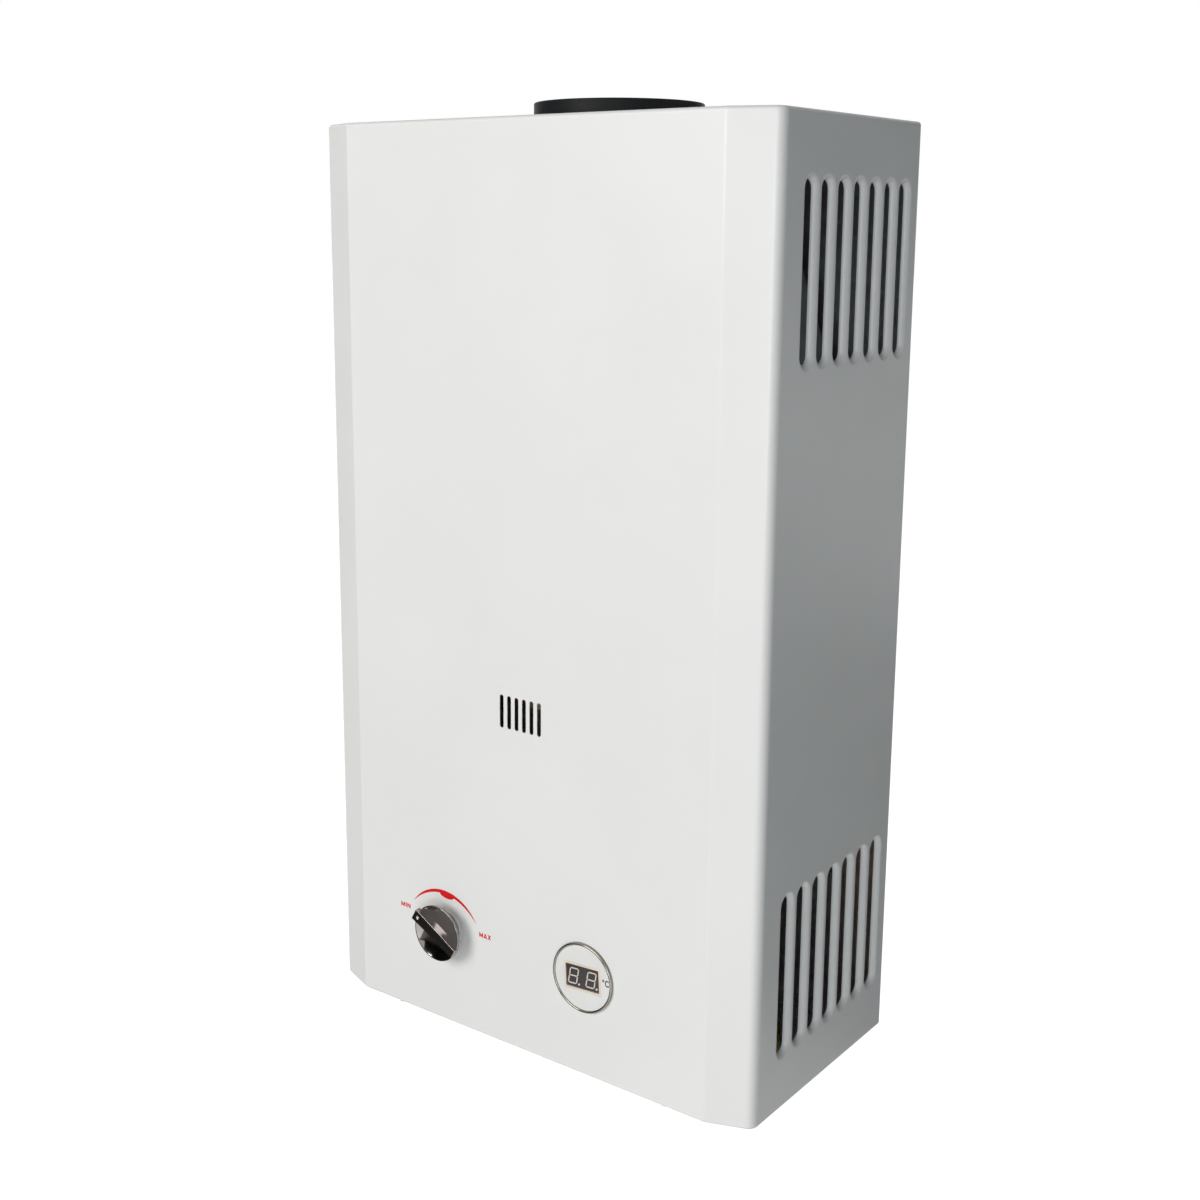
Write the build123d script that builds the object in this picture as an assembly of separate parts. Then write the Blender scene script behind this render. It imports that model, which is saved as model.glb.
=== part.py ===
from build123d import *
import math
import os

# Wall-hung instantaneous gas water heater.
# Frame: +Z up, the wall is the plane y = 0, the front faces -Y, x = 0 is the middle.
# The origin is the middle of the four wall bolts. All sizes are in millimetres.

os.makedirs("parts", exist_ok=True)

# Casing
COVER_WIDTH = 340.0
COVER_HEIGHT = 590.0
COVER_DEPTH = 174.0
BEVEL_WIDTH = 29.0
BEVEL_SETBACK = 11.0
SHEET = 1.0
CORNER_RADIUS = 7.5
CREASE_RADIUS = 6.0
EDGE_RADIUS = 2.5
COVER_FLANGE = 14.0
FLANGE_CORNER = 2.0
COVER_REAR = 0.6

# Louvres in both sides, with edges drawn inwards
SLOT_COUNT = 7
SLOT_PITCH = 18.9
SLOT_WIDTH = 10.7
SLOT_SHIFT = 7.0
LIP_RADIUS = 3.6
UPPER_SLOT_LENGTH = 101.0
UPPER_SLOT_DROP = 87.3
LOWER_SLOT_LENGTH = 101.0
LOWER_SLOT_UP = 87.3

# Flame view slots in the front
VIEW_SLOT_COUNT = 6
VIEW_SLOT_PITCH = 6.0
VIEW_SLOT_WIDTH = 3.0
VIEW_SLOT_LENGTH = 21.5
VIEW_SLOT_UP = 227.5

# Chassis
PLATE = 1.0
PLATE_FIT = 0.4
PLATE_SIDE_FLANGE = 7.5
PLATE_END_FLANGE = 18.0
WALL_BOLT_SIDE = 95.0
WALL_BOLT_END = 45.0
WALL_BOLT_HOLE = 4.0
RIB_WIDTH = 16.0
RIB_DEPTH = 3.0
RIB_LENGTH = 210.0
RIB_X = 45.0
RIB_DROP = 175.0
BOTTOM_PANEL = 1.0
BOTTOM_PANEL_FIT = 1.0
STACK_GAP = 0.3
AIR_SLOT_WIDTH = 5.0
AIR_SLOT_LENGTH = 46.0
AIR_SLOT_PITCH = 11.0
AIR_SLOT_SIDE = 50.0
AIR_SLOT_GAP = 12.0
AIR_SLOT_FRONT = 37.0

# Screws
SCREW_RADIUS = 2.0
SCREW_LENGTH = 8.0
SCREW_HEAD_RADIUS = 3.8
SCREW_HEAD_HEIGHT = 2.4
SCREW_HEAD_ROUND = 1.0
SCREW_CROSS_SPAN = 4.0
SCREW_CROSS_WIDTH = 1.0
SCREW_CROSS_DEPTH = 1.4
SCREW_FIT = 0.15
COVER_SCREW_SIDE = 60.0
FLANGE_SCREW_SIDE = 45.0
PANEL_SCREW_SIDE = 80.0
CAP_SCREW_LENGTH = 20.0
CAP_SCREW_HEAD_RADIUS = 3.5
CAP_SCREW_HEAD_HEIGHT = 4.0

# Flue
COLLAR_RADIUS = 53.5
COLLAR_SHEET = 1.4
COLLAR_SWAGE = 0.8
COLLAR_RISE = 12.0
COLLAR_GAP = 3.0
COLLAR_FLANGE = 9.0
COLLAR_SCREW_COUNT = 4
COLLAR_SCREW_START = 45.0
HOOD_SHEET = 1.0
HOOD_TOP_DROP = 18.0
HOOD_TOP_HALF = 72.0
HOOD_SKIRT = 36.0
HOOD_SHOULDER = 12.0
HOOD_LIP = 1.0
RELIEF_INSET = 35.0
RELIEF_HEIGHT = 24.0

# Burner, combustion chamber and heat exchanger
CHAMBER_SIDE_SPACE = 45.0
CHAMBER_BACK_SPACE = 13.0
CHAMBER_FRONT_SPACE = 37.0
CHAMBER_SHEET = 1.0
TRAY_SHEET = 1.2
TRAY_UP = 155.0
TRAY_HEIGHT = 65.0
TRAY_LEDGE = 10.0
CHAMBER_HEIGHT = 176.0
BAR_COUNT = 10
BAR_END_SPACE = 21.5
BAR_WIDTH = 10.0
BAR_HEIGHT = 52.0
BAR_WALL = 1.0
BAR_FIT = 0.5
BAR_SLOT_COUNT = 14
BAR_SLOT_WIDTH = 1.6
VENTURI_RADIUS = 4.0
AIR_MOUTH_RADIUS = 6.0
NOZZLE_UP = 174.0
FIN_COUNT = 30
FIN_END_SPACE = 9.0
FIN_SHEET = 0.6
FIN_HEIGHT = 50.0
FIN_FIT = 0.5
FIN_DROP = 5.0
TUBE_COUNT = 5
TUBE_END_SPACE = 14.0
TUBE_RADIUS = 8.0
TUBE_WALL = 1.0
TUBE_OVERHANG = 5.0
TUBE_FIT = 0.05
WINDOW_WIDTH = 40.0
WINDOW_HEIGHT = 22.0
WINDOW_BORDER = 5.0
WINDOW_PANE = 1.0
BRACKET_WIDTH = 30.0
BRACKET_FOOT = 14.0
BRACKET_SHEET = 1.2
BRACKET_INSET = 40.0
CHAMBER_BRACKET_UP = 300.0
TRAY_BRACKET_UP = 200.0

# Gas manifold, nozzles and electrodes
MANIFOLD_SIDE = 16.0
MANIFOLD_DEPTH = 12.0
MANIFOLD_STANDOFF = 6.0
MANIFOLD_BORE = 5.0
LUG_WIDTH = 8.0
NOZZLE_BASE_RADIUS = 4.0
NOZZLE_BASE_LENGTH = 3.5
NOZZLE_TIP_RADIUS = 2.2
NOZZLE_TIP_LENGTH = 1.5
NOZZLE_JET = 0.6
ELECTRODE_X = 45.0
ELECTRODE_UP = 230.0
INSULATOR_RADIUS = 3.5
INSULATOR_FLANGE_RADIUS = 6.0
INSULATOR_FLANGE = 3.0
INSULATOR_BACK = 12.0
INSULATOR_REACH = 8.0
ELECTRODE_RADIUS = 1.0
ELECTRODE_REACH = 18.0
ELECTRODE_PLATE_WIDTH = 22.0
ELECTRODE_PLATE_HEIGHT = 16.0
ELECTRODE_PLATE = 1.5
ELECTRODE_FIT = 0.05

# Control knob and its spindle
KNOB_SIDE = 108.0
KNOB_UP = 68.1
KNOB_RADIUS = 19.0
KNOB_BACK_RADIUS = 13.0
KNOB_RIM = 8.0
KNOB_RIM_BAND = 1.5
KNOB_RIM_WIDTH = 0.8
KNOB_DISH = 3.5
KNOB_HEIGHT = 10.5
KNOB_BAR_WIDTH = 7.2
KNOB_BAR_NOSE = 1.5
KNOB_BAR_ROUND = 0.4
KNOB_POINTER_ANGLE = 151.0
KNOB_GAP = 0.5
PLINTH_RADIUS = 13.0
PLINTH_HEIGHT = 3.5
PLINTH_NECK = 9.5
PLINTH_BORE = 5.0
SPINDLE_RADIUS = 3.0
SPINDLE_SEAT = 7.0
RUNNING_FIT = 0.05

# Display
DISPLAY_SIDE = 119.0
DISPLAY_UP = 67.0
DISPLAY_TURN = 3.5
BEZEL_RADIUS = 23.0
BEZEL_WIDTH = 1.7
BEZEL_HEIGHT = 2.2
BEZEL_ROUND = 0.68
FACE_FIT = 0.1
FACE_HEIGHT = 1.4
SKIRT_RADIUS = 20.5
SKIRT_WALL = 1.4
SKIRT_DEPTH = 18.0
DISPLAY_HOLE_FIT = 0.3
LED_WIDTH = 25.2
LED_HEIGHT = 14.6
LED_DEPTH = 8.0
LED_SINK = 0.3
LED_FIT = 0.2
BOARD = 1.6
BOARD_FIT = 0.1
RING_NUT_RADIUS = 26.0
RING_NUT_HEIGHT = 5.0

# Water and gas valve, on one axis along X behind the knob
VALVE_SETBACK = 104.0
GAS_BODY_HALF = 24.0
GAS_WALL = 5.0
OUTLET_CHAMBER = 38.0
STEM_CHAMBER = 22.0
INLET_CHAMBER = 24.0
SEAT_WALL = 4.0
SEAT_RADIUS = 7.0
CHAMBER_BORE = 17.0
PLUG_RADIUS = 9.0
PLUG_BOSS_WALL = 5.0
PLUG_BOSS_LENGTH = 14.0
PLUG_INSET = 1.0
PLUG_ROD_GAP = 6.0
PLUG_SLOT = 4.0
BUSH_FLANGE = 3.0
BUSH_NOSE_RADIUS = 8.0
BUSH_NOSE = 8.0
YOKE = 24.0
YOKE_ARM_WIDTH = 6.0
YOKE_ARM_HEIGHT = 16.0
YOKE_ARM_OFFSET = 18.0
WATER_RADIUS = 28.0
WATER_BODY_LENGTH = 24.0
WATER_COVER_LENGTH = 16.0
WATER_CAVITY_RADIUS = 18.0
WATER_CAVITY = 10.0
DIAPHRAGM_RADIUS = 20.5
DIAPHRAGM = 2.0
STEM_RADIUS = 4.0
STEM_PLATE_RADIUS = 16.0
STEM_PLATE = 2.0
STEM_COLLAR_RADIUS = 6.0
STEM_COLLAR = 3.0
STEM_COLLAR_PLACE = 7.0
STEM_GAP = 0.1
POPPET_RADIUS = 10.0
POPPET = 4.0
SPRING_WALL = 1.2
POPPET_SPRING_RADIUS = 9.0
VALVE_SCREW_RING = 24.0
WATER_BOSS_RADIUS = 12.0
WATER_BOSS_REACH = 30.0
DRAIN_OUT = 25.0
DRAIN_BOSS_RADIUS = 6.5
DRAIN_STEM_RADIUS = 4.0
DRAIN_BOSS_UP = 22.0
DRAIN_CAP_RADIUS = 8.0
DRAIN_CAP_DROP = 8.0
DRAIN_GRIP_WIDTH = 5.0
DRAIN_GRIP_HEIGHT = 8.0
DRAIN_GAP = 0.3
DRAIN_HOLE_FIT = 2.0

# Solenoid and microswitch
SOLENOID_RADIUS = 13.0
SOLENOID_LENGTH = 30.0
SOLENOID_FLANGE = 4.0
SOLENOID_END_WALL = 5.0
PLUNGER_RADIUS = 4.0
PLUNGER_TRAVEL = 3.0
PLUNGER_SPARE = 1.0
PLUNGER_DISC_RADIUS = 10.0
PLUNGER_DISC = 3.0
SOLENOID_SPRING_RADIUS = 7.0
SWITCH_WIDTH = 12.0
SWITCH_HEIGHT = 14.0
SWITCH_PIPE_GAP = 5.0
LEVER_WIDTH = 5.0
LEVER_SHEET = 0.8
LEVER_EYE_RADIUS = 2.0
LEVER_PIN_RADIUS = 0.9
LEVER_PIVOT_UP = 21.0
LEVER_TIP_UP = 4.6
LEVER_GAP = 0.3
EAR_SHEET = 2.0
EAR_FIT = 0.3

# Pipes and threaded connections
PIPE_RADIUS = 8.0
PIPE_BORE = 6.8
PIPE_BEND = 16.0
ELBOW_BEND = 12.0
PIPE_SIDE = 22.0
HOT_SIDE = 52.0
THREAD_RADIUS = 10.48
THREAD_BORE = 7.0
FITTING_DROP = 24.0
THREAD_LENGTH = 22.0
FITTING_HOLE_FIT = 1.0
HEX_ACROSS = 27.0
HEX_HEIGHT = 9.0
FITTING_NECK_RADIUS = 10.0
HOT_FITTING_UP = 42.0
WASHER = 1.5
STRAINER_WALL = 0.5
STRAINER_LENGTH = 26.0
FEED_TURN_UP = 140.0
COLD_TURN_UP = 262.0
HOT_TURN_UP = 180.0

# Electrical pieces
IGNITER_WIDTH = 90.0
IGNITER_HEIGHT = 56.0
IGNITER_DEPTH = 38.0
IGNITER_SIDE = 110.0
IGNITER_UP = 123.0
IGNITER_ROUND = 3.0
THERMOSTAT_RADIUS = 8.0
THERMOSTAT_HEIGHT = 9.0
THERMOSTAT_FLANGE_RADIUS = 11.0
THERMOSTAT_FLANGE = 1.2
THERMOSTAT_UP = 300.0
SENSOR_UP = 240.0
SENSOR_HEIGHT = 12.0
SENSOR_WALL = 2.0
SENSOR_NUB = 10.0
CELL_RADIUS = 17.1
CELL_LENGTH = 61.5
CELL_COUNT = 2
CELL_FIT = 0.3
BOX_WALL = 2.0
BATTERY_SIDE = 92.0
BATTERY_SETBACK = 52.0
BATTERY_FLANGE = 8.0
CONTACT_PLATE = 0.5
CONTACT_SPRING = 4.0
CONTACT_SPRING_RADIUS = 6.0
LID = 2.0
LID_GAP = 0.3
LID_BARREL = 2.2
LID_PIN = 1.4
LID_PIN_LENGTH = 4.0
LID_EAR = 6.0
LID_TAB_WIDTH = 24.0
LID_TAB = 5.0

# Small amounts for the model itself: a cut's overrun, and a tolerance for finding edges
OVERRUN = 2.0
TOUCH = 0.01

# Places worked out from the sizes above
TOP = COVER_HEIGHT / 2
BOTTOM = -COVER_HEIGHT / 2
FRONT = -COVER_DEPTH
SIDE_DEPTH = COVER_DEPTH - BEVEL_SETBACK
BEVEL_ANGLE = math.atan2(BEVEL_SETBACK, BEVEL_WIDTH)
UP = (0, 0, 1)
DOWN = (0, 0, -1)
RIGHT = (1, 0, 0)
LEFT = (-1, 0, 0)
BACK = (0, 1, 0)
FORWARD = (0, -1, 0)

panel_low = BOTTOM + SHEET + STACK_GAP
panel_high = panel_low + BOTTOM_PANEL
plate_low = panel_high
plate_high = TOP - SHEET - STACK_GAP
plate_half = COVER_WIDTH / 2 - SHEET - PLATE_FIT
plate_front = -PLATE

front_flat = COVER_WIDTH - 2 * BEVEL_WIDTH
cover_screw_x = COVER_WIDTH / 2 - COVER_SCREW_SIDE
flange_screw_x = COVER_WIDTH / 2 - FLANGE_SCREW_SIDE
panel_screw_x = COVER_WIDTH / 2 - PANEL_SCREW_SIDE
knob_x = -COVER_WIDTH / 2 + KNOB_SIDE
display_x = COVER_WIDTH / 2 - DISPLAY_SIDE
igniter_x = COVER_WIDTH / 2 - IGNITER_SIDE
battery_x = COVER_WIDTH / 2 - BATTERY_SIDE
pipe_x = COVER_WIDTH / 2 - PIPE_SIDE

chamber_width = COVER_WIDTH - 2 * CHAMBER_SIDE_SPACE
chamber_depth = COVER_DEPTH - CHAMBER_BACK_SPACE - CHAMBER_FRONT_SPACE
flue_out = CHAMBER_BACK_SPACE + chamber_depth / 2
bar_pitch = (chamber_width - 2 * BAR_END_SPACE) / (BAR_COUNT - 1)
fin_pitch = (chamber_width - 2 * FIN_END_SPACE) / (FIN_COUNT - 1)
tube_pitch = (chamber_depth - 2 * TUBE_END_SPACE) / (TUBE_COUNT - 1)
chamber_half = chamber_width / 2
bracket_x = chamber_half - BRACKET_INSET
relief_width = chamber_width - 2 * RELIEF_INSET
chamber_back = -flue_out + chamber_depth / 2
chamber_front = -flue_out - chamber_depth / 2
tray_low = BOTTOM + TRAY_UP
tray_high = tray_low + TRAY_HEIGHT
chamber_low = tray_high
chamber_high = chamber_low + CHAMBER_HEIGHT
window_low = chamber_low + WINDOW_BORDER
window_high = window_low + WINDOW_HEIGHT
fin_high = chamber_high - FIN_DROP
fin_low = fin_high - FIN_HEIGHT
tube_z = (fin_low + fin_high) / 2
tube_end = chamber_half + TUBE_OVERHANG
tube_rows = [-flue_out + (i - (TUBE_COUNT - 1) / 2) * tube_pitch for i in range(TUBE_COUNT)]
hood_low = chamber_high
hood_high = TOP - HOOD_TOP_DROP

valve_y = FRONT + VALVE_SETBACK
valve_z = BOTTOM + KNOB_UP
gas_left = knob_x - OUTLET_CHAMBER / 2 - GAS_WALL
outlet_low = gas_left + GAS_WALL
outlet_high = outlet_low + OUTLET_CHAMBER
stem_low = outlet_high + SEAT_WALL
stem_high = stem_low + STEM_CHAMBER
inlet_low = stem_high + SEAT_WALL
gas_right = inlet_low + INLET_CHAMBER
gas_x = (inlet_low + gas_right) / 2
gas_front = valve_y - GAS_BODY_HALF
gas_back = valve_y + GAS_BODY_HALF
gas_low = valve_z - GAS_BODY_HALF
gas_high = valve_z + GAS_BODY_HALF
boss_front = gas_front - PLUG_BOSS_LENGTH
yoke_left = gas_left - YOKE
water_joint = yoke_left - WATER_COVER_LENGTH
water_left = water_joint - WATER_BODY_LENGTH
cold_x = (water_left + water_joint) / 2
hot_x = COVER_WIDTH / 2 - HOT_SIDE
water_boss_low = valve_z - WATER_BOSS_REACH
water_boss_high = valve_z + WATER_BOSS_REACH
spindle_tip = FRONT - PLINTH_HEIGHT - KNOB_GAP - SPINDLE_SEAT
knob_back = FRONT - PLINTH_HEIGHT - KNOB_GAP


def block(x_span, y_span, z_span):
    """A rectangular block between a low and a high value on each axis."""
    spans = (x_span, y_span, z_span)
    sizes = [abs(high - low) for low, high in spans]
    middles = [(high + low) / 2 for low, high in spans]
    return Pos(*middles) * Box(*sizes)


def rod(base, direction, length, radius, bore=0.0):
    """A round bar, or a tube where it has a bore, from a base point along a direction."""
    seat = (Align.CENTER, Align.CENTER, Align.MIN)
    bar = Cylinder(radius, length, align=seat)
    if bore > 0:
        bar -= Cylinder(bore, length, align=seat)
    return Plane(origin=base, z_dir=direction) * bar


def hexagon(base, direction, height, across):
    """A hexagonal prism of the given width across its flats."""
    outline = RegularPolygon(across / 2, 6, major_radius=False)
    return Plane(origin=base, z_dir=direction) * extrude(outline, height)


def pipe(points, bends, radius, bore):
    """A round pipe along straight runs joined by tangent arcs, one bend radius for each corner."""
    path = FilletPolyline(*points, radius=bends)
    section = Plane(origin=path @ 0, z_dir=path % 0) * (Circle(radius) - Circle(bore))
    return sweep(section, path=path)


def screw(seat, inward):
    """A pan-head sheet screw with a cross recess: its head sits on the seat, its shank runs inwards."""
    outward = tuple(-value for value in inward)
    standing = (Align.CENTER, Align.CENTER, Align.MIN)
    head = Cylinder(SCREW_HEAD_RADIUS, SCREW_HEAD_HEIGHT, align=standing)
    head = fillet(head.edges().group_by(Axis.Z)[-1], SCREW_HEAD_ROUND)
    recess = Box(SCREW_CROSS_SPAN, SCREW_CROSS_WIDTH, SCREW_HEAD_HEIGHT, align=standing)
    recess += Box(SCREW_CROSS_WIDTH, SCREW_CROSS_SPAN, SCREW_HEAD_HEIGHT, align=standing)
    head -= Pos(0, 0, SCREW_HEAD_HEIGHT - SCREW_CROSS_DEPTH) * recess
    return Plane(origin=seat, z_dir=outward) * head + rod(seat, inward, SCREW_LENGTH, SCREW_RADIUS)


def screw_hole(seat, inward):
    """The clearance hole of a sheet screw, through every sheet under its head."""
    return rod(seat, inward, SCREW_LENGTH + OVERRUN, SCREW_RADIUS + SCREW_FIT)


def cap_screw(seat, inward):
    """A socket cap screw of the valve, with a hexagon socket in its head."""
    outward = tuple(-value for value in inward)
    head = rod(seat, outward, CAP_SCREW_HEAD_HEIGHT, CAP_SCREW_HEAD_RADIUS)
    socket_base = tuple(s + o * CAP_SCREW_HEAD_HEIGHT / 2 for s, o in zip(seat, outward))
    socket = hexagon(socket_base, outward, CAP_SCREW_HEAD_HEIGHT, CAP_SCREW_HEAD_RADIUS)
    return head - socket + rod(seat, inward, CAP_SCREW_LENGTH, SCREW_RADIUS)


def plan(inset, back):
    """The casing seen from above, drawn in all round by inset, with its back edge at the given y."""
    half_side = COVER_WIDTH / 2 - inset
    half_front = front_flat / 2 - inset * math.tan(BEVEL_ANGLE / 2)
    front = FRONT + inset
    shoulder = -SIDE_DEPTH + inset * math.tan((math.pi / 2 - BEVEL_ANGLE) / 2)
    left = [(-half_side, back), (-half_side, shoulder), (-half_front, front)]
    right = [(-x, y) for x, y in reversed(left)]
    outline = Polygon(*left, *right, align=None)
    shoulders = [v for v in outline.vertices() if abs(v.Y - shoulder) < TOUCH]
    outline = fillet(shoulders, max(CORNER_RADIUS - inset, FLANGE_CORNER))
    creases = [v for v in outline.vertices() if abs(v.Y - front) < TOUCH]
    return fillet(creases, max(CREASE_RADIUS - inset, FLANGE_CORNER))


def casing_block(inset, back, low, high, edge):
    """The casing's outer or inner form, with its top and bottom edges rounded except at the back."""
    body = Pos(0, 0, low) * extrude(plan(inset, back), high - low)
    rims = body.edges().group_by(Axis.Z)[0] + body.edges().group_by(Axis.Z)[-1]
    bends = [rim for rim in rims if rim.center().Y < back - TOUCH]
    return fillet(bends, edge)


def louvre_lip(length):
    """The drawn-in edge of one louvre slot: a quarter-round sheet section carried round the slot."""
    reach = SLOT_WIDTH / 2 + LIP_RADIUS
    centre = (-LIP_RADIUS, reach)
    outside = CenterArc(centre, LIP_RADIUS, 0, -90)
    inside = CenterArc(centre, LIP_RADIUS - SHEET, 0, -90)
    ends = [Line(outside @ 1, inside @ 1), Line(inside @ 0, outside @ 0)]
    section = make_face([outside, inside, *ends])
    straight = length - SLOT_WIDTH
    side = Pos(0, 0, -straight / 2) * extrude(section, straight, dir=UP)
    end_axis = Axis((0, 0, straight / 2), RIGHT)
    end = revolve(Pos(0, 0, straight / 2) * section, axis=end_axis, revolution_arc=180)
    half = side + end
    return half + Rot(180, 0, 0) * half


louvre_banks = (
    (UPPER_SLOT_LENGTH, TOP - UPPER_SLOT_DROP),
    (LOWER_SLOT_LENGTH, BOTTOM + LOWER_SLOT_UP),
)
louvre_middle = -SIDE_DEPTH / 2 + SLOT_SHIFT
louvre_rows = [louvre_middle + (i - (SLOT_COUNT - 1) / 2) * SLOT_PITCH for i in range(SLOT_COUNT)]
flange_middle = (COVER_FLANGE + SHEET) / 2
collar_bore = COLLAR_RADIUS - COLLAR_SWAGE - COLLAR_SHEET
collar_ring = COLLAR_RADIUS + COLLAR_FLANGE / 2
collar_seat = hood_high + COLLAR_SHEET
lid_low = panel_low - BOX_WALL - LID_GAP - LID
box_inner_length = CELL_COUNT * CELL_LENGTH + CONTACT_SPRING + 2 * CONTACT_PLATE + 2 * CELL_FIT
box_inner_width = 2 * (CELL_RADIUS + CELL_FIT)
box_half_length = box_inner_length / 2 + BOX_WALL
box_half_width = box_inner_width / 2 + BOX_WALL
box_flange_half = box_half_length + BATTERY_FLANGE
box_y = FRONT + BATTERY_SETBACK

cover_seats = [((x, FRONT + flange_middle, BOTTOM), UP) for x in (-cover_screw_x, cover_screw_x)]
cover_seats += [((x, -PLATE_END_FLANGE / 2, TOP), DOWN) for x in (-flange_screw_x, flange_screw_x)]
panel_seats = [((x, -PLATE_END_FLANGE / 2, panel_low), UP) for x in (-panel_screw_x, 0, panel_screw_x)]
collar_step = 360 / COLLAR_SCREW_COUNT
collar_angles = [math.radians(COLLAR_SCREW_START + i * collar_step) for i in range(COLLAR_SCREW_COUNT)]
collar_seats = [
    ((collar_ring * math.cos(a), -flue_out + collar_ring * math.sin(a), collar_seat), DOWN)
    for a in collar_angles
]
box_screw_x = box_half_length + BATTERY_FLANGE / 2
box_seats = [((battery_x + s * box_screw_x, box_y, panel_low - BOX_WALL), UP) for s in (-1, 1)]


def make_front_cover():
    """Folded sheet cover: front, two bevels, two louvred sides, top and a bottom return flange."""
    outside = casing_block(0, -COVER_REAR, BOTTOM, TOP, EDGE_RADIUS)
    inside = casing_block(SHEET, OVERRUN, BOTTOM + SHEET, TOP - SHEET, EDGE_RADIUS - SHEET)
    cover = outside - inside
    mouth = extrude(plan(COVER_FLANGE, OVERRUN), SHEET + 2 * OVERRUN)
    cover -= Pos(0, 0, BOTTOM - OVERRUN) * mouth
    flue_hole = COLLAR_RADIUS + COLLAR_GAP
    cover -= rod((0, -flue_out, TOP - SHEET - OVERRUN), UP, SHEET + 2 * OVERRUN, flue_hole)
    cover -= [screw_hole(seat, inward) for seat, inward in cover_seats]

    front_cut = SHEET + 2 * OVERRUN
    slot = extrude(SlotOverall(VIEW_SLOT_LENGTH, VIEW_SLOT_WIDTH), front_cut)
    for i in range(VIEW_SLOT_COUNT):
        x = (i - (VIEW_SLOT_COUNT - 1) / 2) * VIEW_SLOT_PITCH
        place = (x, FRONT - OVERRUN, BOTTOM + VIEW_SLOT_UP)
        cover -= Plane(origin=place, x_dir=UP, z_dir=BACK) * slot
    cover -= rod((knob_x, FRONT - OVERRUN, valve_z), BACK, front_cut, PLINTH_NECK + RUNNING_FIT)
    display_hole = SKIRT_RADIUS + DISPLAY_HOLE_FIT
    cover -= rod((display_x, FRONT - OVERRUN, BOTTOM + DISPLAY_UP), BACK, front_cut, display_hole)

    lips = []
    through = COVER_WIDTH + 2 * OVERRUN
    for length, middle in louvre_banks:
        blank = SlotOverall(length + 2 * LIP_RADIUS, SLOT_WIDTH + 2 * LIP_RADIUS)
        lip = louvre_lip(length)
        for y in louvre_rows:
            place = (-through / 2, y, middle)
            cover -= Plane(origin=place, x_dir=UP, z_dir=RIGHT) * extrude(blank, through)
            right_lip = Pos(COVER_WIDTH / 2, y, middle) * lip
            lips += [right_lip, mirror(right_lip, about=Plane.YZ)]
    return cover + lips


def make_back_plate():
    """Galvanised chassis plate with folded edges, two pressed ribs and the four wall bolt holes."""
    span = (-plate_half, plate_half)
    height = (plate_low, plate_high)
    plate = block(span, (plate_front, 0), height)
    for s in (-1, 1):
        edge = (s * plate_half, s * (plate_half - PLATE))
        plate += block(edge, (-PLATE_SIDE_FLANGE, 0), height)
    plate += block(span, (-PLATE_END_FLANGE, 0), (plate_low, plate_low + PLATE))
    plate += block(span, (-PLATE_END_FLANGE, 0), (plate_high - PLATE, plate_high))
    corners = [
        edge
        for edge in plate.edges().filter_by(Axis.Y)
        if abs(abs(edge.center().X) - plate_half) < TOUCH and edge.center().Z > plate_high - TOUCH
    ]
    plate = fillet(corners, EDGE_RADIUS - SHEET)
    rib_shell = extrude(SlotOverall(RIB_LENGTH + 2 * PLATE, RIB_WIDTH + 2 * PLATE), RIB_DEPTH + PLATE)
    rib_hollow = extrude(SlotOverall(RIB_LENGTH, RIB_WIDTH), RIB_DEPTH)
    for x in (-RIB_X, RIB_X):
        wall_side = Plane(origin=(x, 0, TOP - RIB_DROP), x_dir=UP, z_dir=FORWARD)
        plate = plate + wall_side * rib_shell - wall_side * rib_hollow
    bolt_x = COVER_WIDTH / 2 - WALL_BOLT_SIDE
    bolt_z = COVER_HEIGHT / 2 - WALL_BOLT_END
    for x in (-bolt_x, bolt_x):
        for z in (-bolt_z, bolt_z):
            plate -= rod((x, -PLATE - OVERRUN, z), BACK, PLATE + 2 * OVERRUN, WALL_BOLT_HOLE)
    plate -= [screw_hole(seat, inward) for seat, inward in panel_seats + cover_seats]
    return plate


def make_bottom_panel():
    """Sheet floor of the chassis, with the holes for the connections, drain, battery box and air."""
    floor = extrude(plan(SHEET + BOTTOM_PANEL_FIT, plate_front - BOTTOM_PANEL_FIT), BOTTOM_PANEL)
    panel = Pos(0, 0, panel_low) * floor
    cut = BOTTOM_PANEL + 2 * OVERRUN
    cut_low = panel_low - OVERRUN
    for x in (cold_x, gas_x, hot_x):
        panel -= rod((x, valve_y, cut_low), UP, cut, THREAD_RADIUS + FITTING_HOLE_FIT)
    panel -= rod((cold_x, valve_y - DRAIN_OUT, cut_low), UP, cut, DRAIN_CAP_RADIUS + DRAIN_HOLE_FIT)
    length = box_half_length + CELL_FIT
    width = box_half_width + CELL_FIT
    panel -= block(
        (battery_x - length, battery_x + length),
        (box_y - width, box_y + width),
        (cut_low, cut_low + cut),
    )
    slot = extrude(SlotOverall(AIR_SLOT_LENGTH, AIR_SLOT_WIDTH), cut)
    first = -COVER_WIDTH / 2 + AIR_SLOT_SIDE
    last = battery_x - box_flange_half - AIR_SLOT_GAP
    for i in range(int((last - first) / AIR_SLOT_PITCH) + 1):
        place = Pos(first + i * AIR_SLOT_PITCH, FRONT + AIR_SLOT_FRONT, cut_low)
        panel -= place * Rot(0, 0, 90) * slot
    panel -= [screw_hole(seat, inward) for seat, inward in panel_seats + box_seats]
    panel -= [screw_hole(seat, inward) for seat, inward in cover_seats]
    return panel


def make_sheet_screws():
    """All the identical pan-head screws of the casing, chassis, flue collar and battery box."""
    return [screw(seat, inward) for seat, inward in cover_seats + panel_seats + collar_seats + box_seats]


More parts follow.
